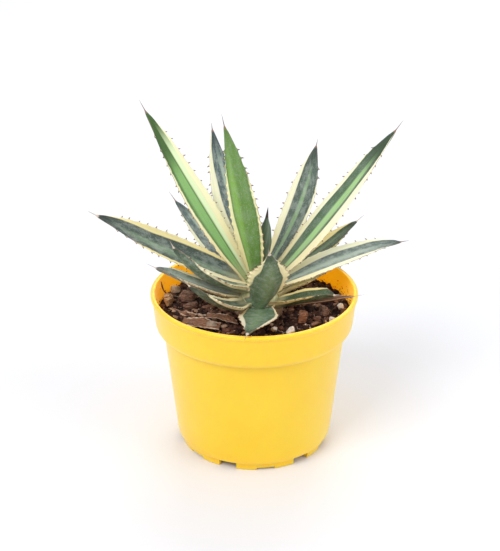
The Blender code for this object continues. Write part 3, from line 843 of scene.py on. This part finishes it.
def stem_rings(rows=90, columns=80):
    """A cone above the soil, joined by straight lines to a narrower neck and foot below it."""
    z = np.linspace(STEM_FOOT, STEM_TOP, rows)[:, None]
    turn = np.linspace(0, math.tau, columns, endpoint=False)[None]
    cone = STEM_TOP_RADIUS + (STEM_TOP - z) * STEM_FLARE
    plug_radii = (FOOT_RADIUS_IN_SOIL, NECK_RADIUS, cone[z[:, 0] > STEM_IN_SOIL][0, 0])
    plug = np.interp(z, (STEM_FOOT, STEM_NECK, STEM_IN_SOIL), plug_radii)
    radius = np.where(z > STEM_IN_SOIL, cone, plug)
    ridge = np.sin(z * 1.6 + 2 * np.sin(turn * 3 + z * 0.2))
    radius = radius * (1 + 0.012 * ridge)
    x, y = radius * np.cos(turn) + STEM_X, radius * np.sin(turn)
    return np.stack((x, y, np.broadcast_to(z, x.shape)), axis=-1)


def stem_finish():
    """Pale green where the leaves are young, and brown lower down where they have fallen."""
    finish = Finish("stem tissue", 0.6)
    height = finish.node("ShaderNodeSeparateXYZ", None, {0: finish.place()}, output="Z")
    scar = finish.noise(finish.place(), 0.5, 3)
    young = finish.mix(scar.over(0.4, 0.65), (0.60, 0.60, 0.36), (0.42, 0.44, 0.20))
    old = finish.mix(scar.over(0.4, 0.6), (0.22, 0.13, 0.08), (0.36, 0.25, 0.16))
    return finish.done(finish.mix(height.over(84, 93), old, young), 0.65, scar, 0.4)


rings = stem_rings()
ends = np.array([[STEM_X, 0, STEM_FOOT - 1], [STEM_X, 0, STEM_TOP + 1.2]])
add_tubes("stem_core", rings[None], ends[None], stem_finish(), ["stem"], "stem_tissue")

# %% [markdown]
# ## The pot
# A nursery pot is one moulding: a thin tapered wall, a stepped collar for grip, a lip, and a
# ring to stand on, which is notched so that water runs off. A lathe profile gives all but
# the notches. Those are made by the same surface: where a notch is, the lowest rows are
# squeezed up to its height, so no Boolean cut is needed and the mesh stays closed. Every
# second notch is deep and lets water out, and the others are shallow.

# %% Pot profile
LIP_RADIUS, POT_HEIGHT, LIP_HEIGHT, WALL = 60.0, 95.2, 2.6, 1.6
COLLAR_TOP, COLLAR_LOW, COLLAR_LOW_HEIGHT = 59.1, 57.5, 76.0
BODY_TOP, BODY_TOP_HEIGHT, BODY_LOW, BODY_LOW_HEIGHT = 53.0, 72.0, 45.8, 7.0
FOOT_RADIUS, FOOT_WALL, FOOT_TOP, FLOOR_UNDER, FLOOR_TOP, DRAIN_RADIUS = 43.2, 2.4, 4.2, 5.2, 6.8, 7.0
NOTCHES = np.arange(12)
NOTCH_TURNS = np.radians(-111 + 30 * NOTCHES)
NOTCH_TOPS = np.where(NOTCHES % 2, 1.2, 4.0)
NOTCH_HALF = math.radians(7.1)
NOTCH_SIDE = 4e-4  # a notch's side lies within this turn, in radians, on both sides of its edge
SHARP_EDGE = math.radians(50)

# Each corner of the wall's section, from the drain hole out, up and in again, is its radius,
# its height, and how much of it is rounded off. The inside starts at the lip's inner corner.
POT_CORNERS = np.array((
    (DRAIN_RADIUS, FLOOR_UNDER, 0.4),
    (FOOT_RADIUS - FOOT_WALL, FLOOR_UNDER, 0.5),
    (FOOT_RADIUS - FOOT_WALL, 0, 0.5),
    (FOOT_RADIUS, 0, 0.6),
    (FOOT_RADIUS + 0.3, FOOT_TOP, 0.5),
    (BODY_LOW - 0.5, BODY_LOW_HEIGHT - 1.8, 0.7),
    (BODY_LOW + 0.1, BODY_LOW_HEIGHT + 1, 1.0),
    (BODY_TOP, BODY_TOP_HEIGHT + 1.2, 0.9),
    (COLLAR_LOW - 0.4, COLLAR_LOW_HEIGHT - 1.2, 1.9),
    (COLLAR_LOW + 0.1, COLLAR_LOW_HEIGHT + 2, 1.0),
    (COLLAR_TOP, POT_HEIGHT - LIP_HEIGHT - 0.2, 0.5),
    (LIP_RADIUS, POT_HEIGHT - LIP_HEIGHT + 0.5, 0.5),
    (LIP_RADIUS, POT_HEIGHT, 0.9),
    (COLLAR_TOP - WALL, POT_HEIGHT, 0.6),
    (COLLAR_LOW - WALL, COLLAR_LOW_HEIGHT + WALL, 1.2),
    (BODY_TOP - WALL, BODY_TOP_HEIGHT + WALL, 1.2),
    (BODY_LOW - WALL, FLOOR_TOP, 1.6),
    (DRAIN_RADIUS, FLOOR_TOP, 0.4),
))
LIP_INNER_CORNER = 13


# %% Rounded corners
def rounded(corners, samples=5, step=2.5):
    """The closed line through the corners, and the number of each point's corner. A corner is
    rounded by (1-t)^2 A + 2t(1-t) corner + t^2 B, and straights get a point every step."""
    spots, cut = corners[:, :2], corners[:, 2:3]
    first = spots + unit(np.roll(spots, 1, 0) - spots) * cut
    last = spots + unit(np.roll(spots, -1, 0) - spots) * cut
    t = np.linspace(0, 1, samples)[:, None]
    runs = []
    for start, corner, end, onward in zip(first, spots, last, np.roll(first, -1, 0)):
        runs.append((1 - t) ** 2 * start + 2 * t * (1 - t) * corner + t**2 * end)
        share = np.linspace(0, 1, 2 + int(np.linalg.norm(onward - end) / step))[1:-1, None]
        runs[-1] = np.concatenate((runs[-1], end + (onward - end) * share))
    return np.concatenate(runs), np.repeat(np.arange(len(runs)), [len(run) for run in runs])


# %% Turning the profile
def pot_mesh(turns=360):
    """The profile turned round the axis: (r, z) goes to (r cos a, r sin a, z). In a notch of height
    h, each z under the foot's top F goes to h + z (1 - h / F)."""
    profile, corner = rounded(POT_CORNERS)
    inside = corner >= LIP_INNER_CORNER
    sides = np.array((-NOTCH_SIDE, NOTCH_SIDE))[:, None, None]
    edges = NOTCH_TURNS[:, None] + NOTCH_HALF * np.array((-1, 1)) + sides
    angle = np.concatenate((np.linspace(0, math.tau, turns, endpoint=False), edges.ravel()))
    angle = np.sort(np.mod(angle, math.tau))
    away = np.abs((angle[:, None] - NOTCH_TURNS + math.pi) % math.tau - math.pi)
    lift = np.where(away < NOTCH_HALF, NOTCH_TOPS, 0).max(axis=1)[None]
    radius, height = profile[:, :1], profile[:, 1:]
    raised = np.where(height < FOOT_TOP, lift + height * (1 - lift / FOOT_TOP), height)
    points = np.stack((radius * np.cos(angle), radius * np.sin(angle), raised), axis=-1)
    row, column = np.meshgrid(np.arange(len(profile)), np.arange(len(angle)), indexing="ij")
    next_row, next_column = (row + 1) % len(profile), (column + 1) % len(angle)
    grid = (row, column), (row, next_column), (next_row, next_column), (next_row, column)
    faces = np.stack([r * len(angle) + c for r, c in grid], axis=-1).reshape(-1, 4)
    within = np.broadcast_to(inside[:, None], raised.shape)
    mesh = new_mesh("yellow_pot", points.reshape(-1, 3), [faces], inside=within)
    mesh.set_sharp_from_angle(angle=SHARP_EDGE)
    print("pot:", len(profile), "rings of", len(angle), "points")
    return mesh


# %% [markdown]
# ## The pot's plastic
# Thin yellow plastic isn't opaque. Light goes in, spreads, loses its blue, and comes out
# warmer, which subsurface scattering gives on the outside. On the inside of a thin wall
# light also arrives through the wall, and it has turned orange on the way. Scattering
# doesn't carry enough of it, so that light is painted: the inner wall's colour is a brighter
# orange than the outside's, and the inner wall gives off a little orange light of its own.

# %% Plastic
GOLD, GOLD_WARM, GOLD_PAINTED_TOP_LIGHT = (0.945, 0.56, 0.013), (0.955, 0.59, 0.020), (0.98, 0.60, 0.040)
SCUFFED, INNER_WALL_PAINTED_LIGHT = (0.95, 0.78, 0.30), (1.0, 0.56, 0.008)
SOIL_SMEAR, SOIL_CRUMB = (0.42, 0.20, 0.03), (0.13, 0.05, 0.02)
PAINTED_WALL_GLOW = (0.50, 0.21, 0.0)


def pot_finish():
    """Glossy moulded plastic, paler where it has rubbed, with soil stuck on the inner wall, and painted light
    on the inner wall: a brighter orange colour and a glow.
    """
    finish = Finish(
        "golden plastic",
        0.36,
        IOR=1.48,
        Sheen_Weight=0.3,
        Sheen_Roughness=0.4,
        Subsurface_Weight=0.8,
        Subsurface_Radius=(1.0, 0.5, 0.06),
        Subsurface_Scale=0.003,
        Emission_Strength=1.0,
    )
    place, within = finish.place(), finish.field("inside")
    cloud = finish.noise(place, 0.035, 3)
    grain = finish.noise(place, 1.7, 3)
    scuff = finish.noise(place, 0.6, 4, 0.7).over(0.66, 0.74) * cloud.over(0.45, 0.6)
    height = finish.node("ShaderNodeSeparateXYZ", None, {0: place}, output="Z")
    # The higher up the wall, the fewer crumbs stick to it: their noise must be over a higher reach.
    crumbs = finish.noise(place, 0.9, 4, 0.75)
    reach = 0.63 + (height - 84) * 0.014 - finish.noise(place, 0.06, 2) * 0.05
    dirt = (crumbs - reach).over(0.0, 0.02) * within * height.over(70, 74)
    smear = crumbs.over(0.35, 0.6) * within * (1 - height.over(82, 85)) * 0.35
    colour = finish.layered(
        GOLD,
        (cloud.over(0.3, 0.7), GOLD_WARM),
        # painted light: the pot is painted paler towards its top, where more light falls
        (height.over(8, 90) * 0.35, GOLD_PAINTED_TOP_LIGHT),
        (scuff * 0.3, SCUFFED),
        # painted light: the inner wall is coloured a brighter orange than the outside, for light that comes
        # through the wall and bounces inside
        (within * 0.9, INNER_WALL_PAINTED_LIGHT),
        (smear, SOIL_SMEAR),
        (dirt, SOIL_CRUMB),
    )
    # painted light: where no soil is stuck, the inner wall glows orange, for light that comes through the
    # wall
    through = finish.mix(within * (1 - dirt) * (1 - smear), (0, 0, 0), PAINTED_WALL_GLOW)
    finish.feed(finish.shader.inputs["Emission Color"], through)
    rough = 0.34 + grain * 0.12 + scuff * 0.15 + dirt * 0.4
    return finish.done(colour, rough, grain + dirt, 0.05)


add_piece(pot_mesh(), pot_finish(), ["pot"])

# %% [markdown]
# ## The potting mix
# The soil is thousands of clods pressed together. Modelling each would be heavy, and a
# bumpy plane looks like cloth. What the eye sees is the clods' outer envelope, so the height
# at a place is the top of the highest clod there: each clod is a tilted, flattened dome, and
# the surface is the largest of them all. Each point also keeps its clod's own tone.

# %% Soil surface
SOIL_LEVEL, SOIL_EDGE, SOIL_BOTTOM = 81.6, 55.9, 7.2
HOLLOW = -0.3  # how far the gaps between the clods lie under the soil's level
# The low tone of the gaps between the clods is painted shade: it makes the hollows darker.
HOLLOW_SHADE_TONE, SIDE_TONE = 0.1, 0.3
CLODS = 2400
rng = np.random.default_rng(7)
clod_reach = 1.0 + 2.4 * rng.random(CLODS) ** 3
clod_far, clod_turn = 56 * np.sqrt(rng.random(CLODS)), rng.uniform(0, math.tau, CLODS)
clod_x, clod_y = clod_far * np.cos(clod_turn), clod_far * np.sin(clod_turn)
clod_spin, clod_long = rng.uniform(0, math.pi, CLODS), rng.uniform(0.55, 1.0, CLODS)
clod_tilt = rng.normal(0, 0.28, (2, CLODS))
clod_tone = rng.random(CLODS)


def soil_surface(x, y):
    """The height of the soil and its clod's tone at each (x, y), worked out a row at a time. With r
    the distance from a clod's middle as a share of its reach, its dome is 0.55 reach (1 - r^3)."""
    height, tone = np.empty(x.shape), np.empty(x.shape)
    for row in range(len(x)):
        dx, dy = x[row][:, None] - clod_x, y[row][:, None] - clod_y
        u = (dx * np.cos(clod_spin) + dy * np.sin(clod_spin)) / clod_reach
        v = (dy * np.cos(clod_spin) - dx * np.sin(clod_spin)) / (clod_reach * clod_long)
        dome = 0.55 * clod_reach * (1 - (u * u + v * v) ** 1.5)
        dome = dome + dx * clod_tilt[0] + dy * clod_tilt[1]
        dome = np.where(u * u + v * v < 1, dome, HOLLOW)
        best = dome.argmax(axis=1)
        height[row] = dome[np.arange(len(best)), best]
        # painted shade: a point in a gap between clods gets the low hollow tone, so it is darker
        tone[row] = np.where(height[row] > HOLLOW, clod_tone[best], HOLLOW_SHADE_TONE)
    far = np.hypot(x, y)
    spots = np.stack((x, y, 0 * x), axis=-1)
    roll = 0.5 * ripple(spots, 22, 8) + 0.35 * ripple(spots, 2.6, 9) + 0.16 * ripple(spots, 1.1, 10)
    return SOIL_LEVEL + np.clip(height, HOLLOW, 2.2) + roll + 0.5 * ease(54, 56, far), tone


def soil_rings(rings=132, columns=440):
    """Rings of the top from the middle out, then five down the side to the pot's floor."""
    far = np.linspace(0.4, 1, rings) ** 0.5
    far = SOIL_EDGE * (far - far[0] + 0.006) / (1.006 - far[0])
    turn = np.linspace(0, math.tau, columns, endpoint=False)
    x, y = far[:, None] * np.cos(turn), far[:, None] * np.sin(turn)
    top, tone = soil_surface(x, y)
    side_height = np.array((79.5, 75.0, 71.0, 9.0, SOIL_BOTTOM))
    side_far = np.array((55.6, 52.6, 50.9, 43.8, 41.8))
    side_x, side_y = np.outer(side_far, np.cos(turn)), np.outer(side_far, np.sin(turn))
    side = np.stack((side_x, side_y, np.outer(side_height, np.ones(columns))), axis=-1)
    rings = np.concatenate((np.stack((x, y, top), axis=-1), side))
    tone = np.concatenate((tone, np.full(side.shape[:2], SIDE_TONE)))
    # The end points are listed from below, so the rings are turned over to keep the faces outwards.
    return rings[::-1], tone[::-1]


def soil_finish():
    """Peat: nearly black when fine and in the hollows between clods, where it is painted shade; redder on the
    clods, dusty on the few dry ones.
    """
    finish = Finish("potting mix", 0.92, Specular_IOR_Level=0.25)
    tone = finish.field("tone")
    fine = finish.noise(finish.place(), 1.6, 5, 0.75)
    shade = tone * 0.75 + (fine - 0.5) * 1.9 - 0.08
    # The darkest stop colours the hollows' painted shade, as well as low spots of the fine noise.
    darkest, peat = (0.0, (0.010, 0.003, 0.002)), (0.35, (0.045, 0.016, 0.010))
    clod, dust = (0.7, (0.14, 0.062, 0.038)), (1.0, (0.42, 0.24, 0.14))
    return finish.done(finish.ramp(shade, darkest, peat, clod, dust), 0.45 + fine * 0.4, fine, 0.5)


rings, tone = soil_rings()
ends = np.array([[0, 0, SOIL_BOTTOM], [0, 0, rings[-1, :, 2].mean()]])
add_tubes("soil_bed", rings[None], ends[None], soil_finish(), ["soil"], "potting_mix", tone=tone)

# %% [markdown]
# ## Stones and bark
# A worn pebble or a broken chip is roughly a ball cut flat by a few planes, with the edges
# rubbed off. For a direction n and planes p at distance d, the cut ball reaches d / (n . p)
# at the nearest plane. Adding those as powers instead of taking the smallest rounds every
# edge: a low power gives a pebble and a high one a sharp chip. The same formula makes the
# big pieces, each at its own place, and hundreds of small bits at once.


# %% Cut stones
def ball_directions(rows, columns):
    """Unit directions on a grid of latitude and longitude, without the poles."""
    up = np.linspace(-np.pi / 2, np.pi / 2, rows + 2)[1:-1, None]
    turn = np.linspace(0, math.tau, columns, endpoint=False)[None]
    flat = np.cos(up)
    rise = np.broadcast_to(np.sin(up), (rows, columns))
    return np.stack((flat * np.cos(turn), flat * np.sin(turn), rise), axis=-1)


def cut_stones(copies, rows, columns, power, planes, rng):
    """Unit stones (copies, rows, columns, 3): reach = (sum of (n . p / d)^power)^(-1/power)."""
    directions = ball_directions(rows, columns)
    facing = unit(rng.normal(size=(copies, planes, 3)))
    reach = rng.uniform(0.50, 0.92, (copies, 1, 1, planes))
    push = np.clip(np.einsum("rci,kpi->krcp", directions, facing), 0, None) / reach
    radius = (0.9 + (push**power).sum(axis=-1)) ** (-1 / power)
    return directions[None] * radius[..., None]


def turned_about(points, spin, pitch):
    """Each copy pitched about its own Y axis and spun about Z, by its own angles."""
    spin, pitch = spin[:, None, None], pitch[:, None, None]
    x, y, z = points[..., 0], points[..., 1], points[..., 2]
    x, z = x * np.cos(pitch) + z * np.sin(pitch), z * np.cos(pitch) - x * np.sin(pitch)
    x, y = x * np.cos(spin) - y * np.sin(spin), x * np.sin(spin) + y * np.cos(spin)
    return np.stack((x, y, z), axis=-1)


# %% Stone and bark finishes
def stone_finish(name, dark, light, specks=0.3):
    """Two tones in soft clouds, with brown specks where a finer noise is high."""
    finish = Finish(name, 0.7)
    place = finish.place()
    cloud, grit = finish.noise(place, 0.5, 4, 0.65), finish.noise(place, 3.2, 3, 0.7)
    speckled = (grit.over(0.58, 0.72) * specks, (0.10, 0.065, 0.045))
    stone = finish.layered(dark, (cloud.over(0.3, 0.7), light), speckled)
    return finish.done(stone, 0.6 + grit * 0.25, grit, 0.25)


def bark_finish(name, dark, light):
    """Thin flat layers: a noise squeezed along Z, with pits painted darker as shade."""
    finish = Finish(name, 0.85)
    place = finish.place()
    squeezed = finish.node("ShaderNodeMapping", None, {"Vector": place, "Scale": (0.35, 0.5, 2.2)})
    layers = finish.noise(squeezed, 1.0, 4, 0.6)
    pits = finish.noise(place, 1.6, 3, 0.7)
    # painted shade: darker where the pit noise is high, for shade in pits
    shaded_pits = (pits.over(0.55, 0.7) * 0.6, dimmed(dark, 0.35))
    bark = finish.layered(dark, (layers.over(0.35, 0.65), light), shaded_pits)
    return finish.done(bark, 0.85, layers + pits, 0.6)


STONE_FINISHES = {
    "bark": bark_finish("red bark", (0.09, 0.042, 0.030), (0.32, 0.19, 0.13)),
    "tan_bark": bark_finish("tan bark", (0.30, 0.15, 0.07), (0.70, 0.48, 0.29)),
    "rust_bark": bark_finish("rust bark", (0.12, 0.045, 0.022), (0.42, 0.19, 0.10)),
    "beige_stone": stone_finish("beige stone", (0.34, 0.24, 0.16), (0.60, 0.47, 0.34)),
    "grey_stone": stone_finish("grey stone", (0.17, 0.12, 0.085), (0.36, 0.28, 0.21)),
    "white_stone": stone_finish("white stone", (0.60, 0.52, 0.44), (0.88, 0.83, 0.76), 0.15),
}

# %% The pieces that lie loose
# Each has its length, breadth and depth, its turn in degrees, and its kind.
LUMPS = {
    "pebble_beige": (6, 5, 5, 20, "beige_stone"),
    "bark_chip_tan": (5.5, 6.5, 8, 0, "tan_bark"),
    "bark_lump_left": (10, 7, 6.5, 10, "bark"),
    "bark_chip_left": (9, 5, 4.5, 20, "bark"),
    "bark_chip_front": (8, 5, 4, 35, "bark"),
    "pebble_grey_front": (7.5, 6, 5, 0, "grey_stone"),
    "pebble_white_small": (3.5, 3.5, 3.5, 0, "white_stone"),
    "pebble_white_front": (5.5, 4.5, 5, 50, "white_stone"),
    "bark_chip_right": (8, 6, 7, 60, "rust_bark"),
    "pebble_white_right": (4, 3.5, 3.5, 15, "white_stone"),
    "bark_chip_far_right": (9, 5.5, 4.5, 95, "bark"),
    "pebble_white_far_right": (4, 3.5, 3.5, 0, "white_stone"),
    "bark_chip_back": (11, 6, 5, 5, "bark"),
    "pebble_beige_back": (8, 6, 5, 30, "beige_stone"),
}
PEBBLE_POWER, SPLIT_POWER, CHIP_POWER = 8, 16, 40
SUNK = (0, 0, 0.25)
for number, (node, (long, broad, deep, turn, kind)) in enumerate(LUMPS.items()):
    rng = np.random.default_rng(300 + number)
    low, high = (np.array(corner) * TO_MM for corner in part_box(node))
    chip = "bark" in kind
    sharp = CHIP_POWER if chip else SPLIT_POWER if kind == "white_stone" else PEBBLE_POWER
    stone = cut_stones(1, 40, 56, sharp, 13, rng)[0]
    extent = stone.max(axis=(0, 1)) - stone.min(axis=(0, 1))
    stone = stone / extent * (long, broad, deep) * 1.04
    grain = ripple(stone * ((0.5, 1, 2.2) if chip else (1, 1, 1)), 2.4, number)[..., None]
    stone = stone + unit(stone) * grain * (0.34 if chip else 0.08)
    rings = turned_about(stone[None], np.array([math.radians(turn)]), np.zeros(1))
    rings = rings + (low + high) / 2 - SUNK
    slot = "tan_bark" if kind == "rust_bark" else kind
    add_tubes("loose_" + node, rings, poles(rings), STONE_FINISHES[kind], [node], slot)

# %% [markdown]
# ## Dry bits
# On the left lies the remains of an old leaf: two pale curled edges that meet at its tip,
# with a torn brown blade between them. A twig leans on the wall. Each is a tube along a
# smooth line, and the blade is a sheet stretched from one edge to the other. Two more torn
# scraps lie in front of it.


# %% Smooth lines and tubes along them
def smooth_line(knots, count):
    """Points on a Catmull-Rom curve: at each knot it runs along the line that joins its neighbours."""
    knots = np.array(knots, float)
    wide = np.concatenate((2 * knots[:1] - knots[1:2], knots, 2 * knots[-1:] - knots[-2:-1]))
    spot = np.linspace(0, len(knots) - 1 - 1e-9, count)
    first = spot.astype(int)
    t = (spot - first)[:, None]
    a, b, c, d = (wide[first + k] for k in range(4))
    return 0.5 * (2 * b + (c - a) * t + (2 * a - 5 * b + 4 * c - d) * t**2 + (3 * b - a - 3 * c + d) * t**3)


def strand_rings(lines, radius, columns, flat=1.0):
    """Tubes (copies, rows, columns, 3) round lines (copies, rows, 3), thinner towards both ends."""
    along = unit(np.gradient(lines, axis=1))
    side = unit(np.cross(along, (0.1, 0.2, 1.0)))
    over = np.cross(along, side)
    turn = np.linspace(0, math.tau, columns, endpoint=False)[:, None]
    share = np.linspace(0, 1, lines.shape[1])[:, None, None]
    size = radius * (1 - 0.75 * np.abs(2 * share - 1) ** 4)
    skin = side[:, :, None] * np.cos(turn) + over[:, :, None] * np.sin(turn) * flat
    return lines[:, :, None] + size * skin


# %% Curls and twig
ON_SOIL = 83.4


def on_soil(*spots):
    """Places (x, y) with the height at which a bit rests on the soil."""
    return tuple((x, y, ON_SOIL) for x, y in spots)


LONG_CURL = on_soil((-50, 0), (-44, -6), (-33, -15.5), (-26, -15))
SHORT_CURL = on_soil((-39, -6), (-34, -8), (-29, -10.5))
TWIG = ((-51.2, 15.9, ON_SOIL), (-53.4, 14.4, 88), (-54.9, 12.9, 94.5))
straw = stone_finish("straw", (0.30, 0.17, 0.10), (0.72, 0.58, 0.42), 0.2)
twig_brown = bark_finish("twig", (0.10, 0.045, 0.03), (0.30, 0.17, 0.10))
for name, route, radius, finish in (
    ("dry_curl_long", LONG_CURL, 0.62, straw),
    ("dry_curl_short", SHORT_CURL, 0.55, straw),
    ("twig_at_wall", TWIG, 0.6, twig_brown),
):
    line = smooth_line(route, 90)
    line = line + 0.22 * np.stack([ripple(line, 6, seed) for seed in (1, 2, 3)], axis=-1)
    rings = strand_rings(line[None], radius, 14, 0.7)
    add_tubes("thin_" + name, rings, poles(rings), finish, [name], "dry_leaf")

# %% The withered blade between the two curls, and two torn scraps beside it
scrap = withered_finish("withered scrap", (0.13, 0.055, 0.030), (0.36, 0.19, 0.105), (0.70, 0.56, 0.43))
SHEET_ROWS, SHEET_COLUMNS = 60, 40
share = np.linspace(0, 1, SHEET_ROWS)[:, None]
sweep = np.linspace(0, math.tau, SHEET_COLUMNS, endpoint=False)
across = -np.cos(sweep)
spread = (across[None, :, None] + 1) / 2
HIGH = ON_SOIL + 1.6
SCRAPS = {
    "withered_blade": (LONG_CURL, on_soil((-49, 0), (-42, -3.5), (-34, -7), (-25, -9.5))),
    "withered_scrap_front": (((-42, -24, HIGH), (-32, -29, HIGH + 1), (-20, -30, HIGH)),
                             ((-40, -16, HIGH), (-31, -19, HIGH + 2), (-19, -22, HIGH))),
    "withered_scrap_inner": (((-29, -17, HIGH + 0.5), (-20, -20, HIGH + 1.5), (-9, -24, HIGH)),
                             ((-27, -11, HIGH), (-19, -14, HIGH + 2), (-10, -19, HIGH + 1))),
}
# A ring of a sheet runs from one edge to the other on the under side, and comes back on the
# upper side, a little higher.
for name, edges in SCRAPS.items():
    near, far = (smooth_line(edge, SHEET_ROWS)[:, None] for edge in edges)
    sheet = near * (1 - spread) + far * spread
    crumple = 0.5 * ripple(sheet, 5, 21) + 0.25 * ripple(sheet, 2.2, 22)
    lift = crumple - 0.5 * (1 - across**2) - 0.25 * np.sin(sweep)
    sheet = sheet + lift[..., None] * (0, 0, 1)
    fields = {"across": np.broadcast_to(across, lift.shape), "along": np.broadcast_to(share, lift.shape)}
    add_tubes(name, sheet[None], poles(sheet[None]), scrap, slot="dry_leaf", **fields)

# %% [markdown]
# ## Litter
# Between the big pieces lie crumbs, bark flakes, white grit and hair-thin roots. One seeded
# scatter gives each kind its places, sizes and turns, and the soil's own surface gives its
# height. Each bit has only a few faces, since there are hundreds of them.


# %% Scatter
def scatter(count, rng, inner=13.0, outer=54.0):
    """Places on the soil, evenly spread over a ring: the distance grows with a square root."""
    far = np.sqrt(rng.uniform(inner**2, outer**2, count))
    turn = rng.uniform(0, math.tau, count)
    x, y = far * np.cos(turn), far * np.sin(turn)
    height, _ = soil_surface(x[None], y[None])
    return np.stack((x, y, height[0]), axis=-1)


def add_bits(name, places, sizes, power, finish, slot, rng, tilt=0.35, rows=5, columns=8):
    """Cut stones of the given (length, breadth, depth), one at each place, each with a tone."""
    count = len(places)
    stones = cut_stones(count, rows, columns, power, 8, rng) * sizes[:, None, None]
    stones = turned_about(stones, rng.uniform(0, math.tau, count), rng.normal(0, tilt, count))
    rings = stones + places[:, None, None]
    tone = np.broadcast_to(rng.random((count, 1, 1)), rings.shape[:3])
    return add_tubes(name, rings, poles(rings), finish, slot=slot, tone=tone)


def bit_finish(name, dark, middle, light):
    """Small bits: each has its own tone, from dark to light, and a little grain."""
    finish = Finish(name, 0.85, Specular_IOR_Level=0.3)
    grain = finish.noise(finish.place(), 2.0, 3, 0.7)
    shade = finish.field("tone") * 0.8 + (grain - 0.5) * 0.7 + 0.1
    return finish.done(finish.ramp(shade, (0.0, dark), (0.6, middle), (1.0, light)), 0.85, grain, 0.3)


crumb_brown = bit_finish("crumb brown", (0.020, 0.006, 0.004), (0.085, 0.034, 0.022), (0.36, 0.21, 0.14))
flake_brown = bit_finish("flake brown", (0.050, 0.019, 0.012), (0.20, 0.088, 0.052), (0.60, 0.42, 0.29))
grit_white = bit_finish("grit white", (0.28, 0.19, 0.16), (0.50, 0.40, 0.35), (0.85, 0.80, 0.74))

# %% Scatter the litter
rng = np.random.default_rng(90)
count = 900
size = rng.uniform(0.5, 1.5, (count, 1)) * rng.uniform(0.6, 1.0, (count, 3))
add_bits("soil_crumbs", scatter(count, rng), size, 8, crumb_brown, "potting_mix", rng)
count = 300
longest = rng.uniform(1.2, 3.8, (count, 1))
size = longest * np.column_stack((np.ones(count), rng.uniform(0.4, 0.8, count), rng.uniform(0.2, 0.4, count)))
places = scatter(count, rng) + (0, 0, 0.3)
add_bits("bark_flakes", places, size, 16, flake_brown, "bark", rng, rows=6, columns=10)
count = 170
size = rng.uniform(0.25, 0.75, (count, 1)) * rng.uniform(0.7, 1.0, (count, 3))
add_bits("white_grit", scatter(count, rng) + (0, 0, 0.2), size, 7, grit_white, "white_stone", rng)

# %% Crumbs that stick to the inner wall
# Most of them stick on the right, and a few on the left.
on_right, on_left = 80, 30
count = on_right + on_left
turn = np.concatenate((rng.normal(0.12, 0.3, on_right), rng.uniform(2.4, 3.4, on_left)))
up = 83.3 + 7.0 * rng.random(count) ** 2.2
wall_low, wall_high = COLLAR_LOW_HEIGHT + WALL, POT_HEIGHT - LIP_HEIGHT - 0.2
wall = np.interp(up, (wall_low, wall_high), (COLLAR_LOW - WALL, COLLAR_TOP - WALL)) - 0.15
places = np.column_stack((wall * np.cos(turn), wall * np.sin(turn), up))
size = rng.uniform(0.2, 0.6, (count, 1)) * rng.uniform(0.6, 1.0, (count, 3))
add_bits("wall_crumbs", places, size, 8, crumb_brown, "potting_mix", rng)

# %% Roots
ROOTS_WITHIN, ROOT_RADIUS = 54.5, 0.16
count = 70
start = scatter(count, rng, 20, 50)
heading, bow = rng.uniform(0, math.tau, count), rng.normal(0, 0.9, count)
reach = rng.uniform(4, 11, count)[:, None] * np.linspace(-0.5, 0.5, 12)
bend = bow[:, None] * (reach / 5) ** 2
x = start[:, :1] + reach * np.cos(heading)[:, None] - bend * np.sin(heading)[:, None]
y = start[:, 1:2] + reach * np.sin(heading)[:, None] + bend * np.cos(heading)[:, None]
inside = ROOTS_WITHIN / np.maximum(np.hypot(x, y), ROOTS_WITHIN)
x, y = x * inside, y * inside
height, _ = soil_surface(x, y)
# A root follows the soil only half way, because it is too stiff to dip into every gap.
level = height.mean(axis=1, keepdims=True)
lines = np.stack((x, y, level * 0.5 + height * 0.5 + 0.25), axis=-1)
rings = strand_rings(lines, ROOT_RADIUS, 6)
add_tubes("fine_roots", rings, poles(rings), straw, slot="dry_leaf")

# %% [markdown]
# ## Floor and light
# The plant stands on plain pale paper in soft light. Three square lamps do that, because a
# big lamp makes a soft shadow and a small one a hard shadow: the key from the left and
# above, a fill from the right, and one behind that lights the leaves' edges. A white world
# lifts the shadows.

# %% Floor
floor_mesh = bpy.data.meshes.new("floor")
floor_mesh.from_pydata([(-6, -6, 0), (6, -6, 0), (6, 6, 0), (-6, 6, 0)], [], [(0, 1, 2, 3)])
floor = bpy.data.objects.new("floor", floor_mesh)
bpy.context.scene.collection.objects.link(floor)
paper = Finish("floor paper", 0.9)
floor_mesh.materials.append(paper.done((0.74, 0.75, 0.79)))


# %% Light
def softbox(name, place, aim, size, power):
    """A square lamp of the size in metres and the power in watts, turned to face the aim."""
    light = bpy.data.lights.new(name, "AREA")
    light.shape, light.size, light.energy = "SQUARE", size, power
    lamp = bpy.data.objects.new(name, light)
    lamp.location = place
    way = np.subtract(aim, place)
    tilt = math.atan2(math.hypot(way[0], way[1]), -way[2])
    lamp.rotation_euler = (tilt, 0, math.atan2(way[1], way[0]) - math.pi / 2)
    bpy.context.scene.collection.objects.link(lamp)
    print(name, "light at", place)


PLANT_MIDDLE = (0, 0, 0.1)
softbox("key", (-0.9, -1.1, 1.5), PLANT_MIDDLE, 1.0, 22)
softbox("fill", (1.4, -0.6, 0.9), PLANT_MIDDLE, 1.2, 9)
softbox("back", (0.2, 1.4, 1.3), PLANT_MIDDLE, 1.2, 12)

world = bpy.data.worlds.new("studio")
world.use_nodes = True
background = world.node_tree.nodes["Background"]
background.inputs["Color"].default_value = (1, 1, 1, 1)
background.inputs["Strength"].default_value = 0.75
bpy.context.scene.world = world
bpy.context.scene.view_settings.view_transform = "Standard"
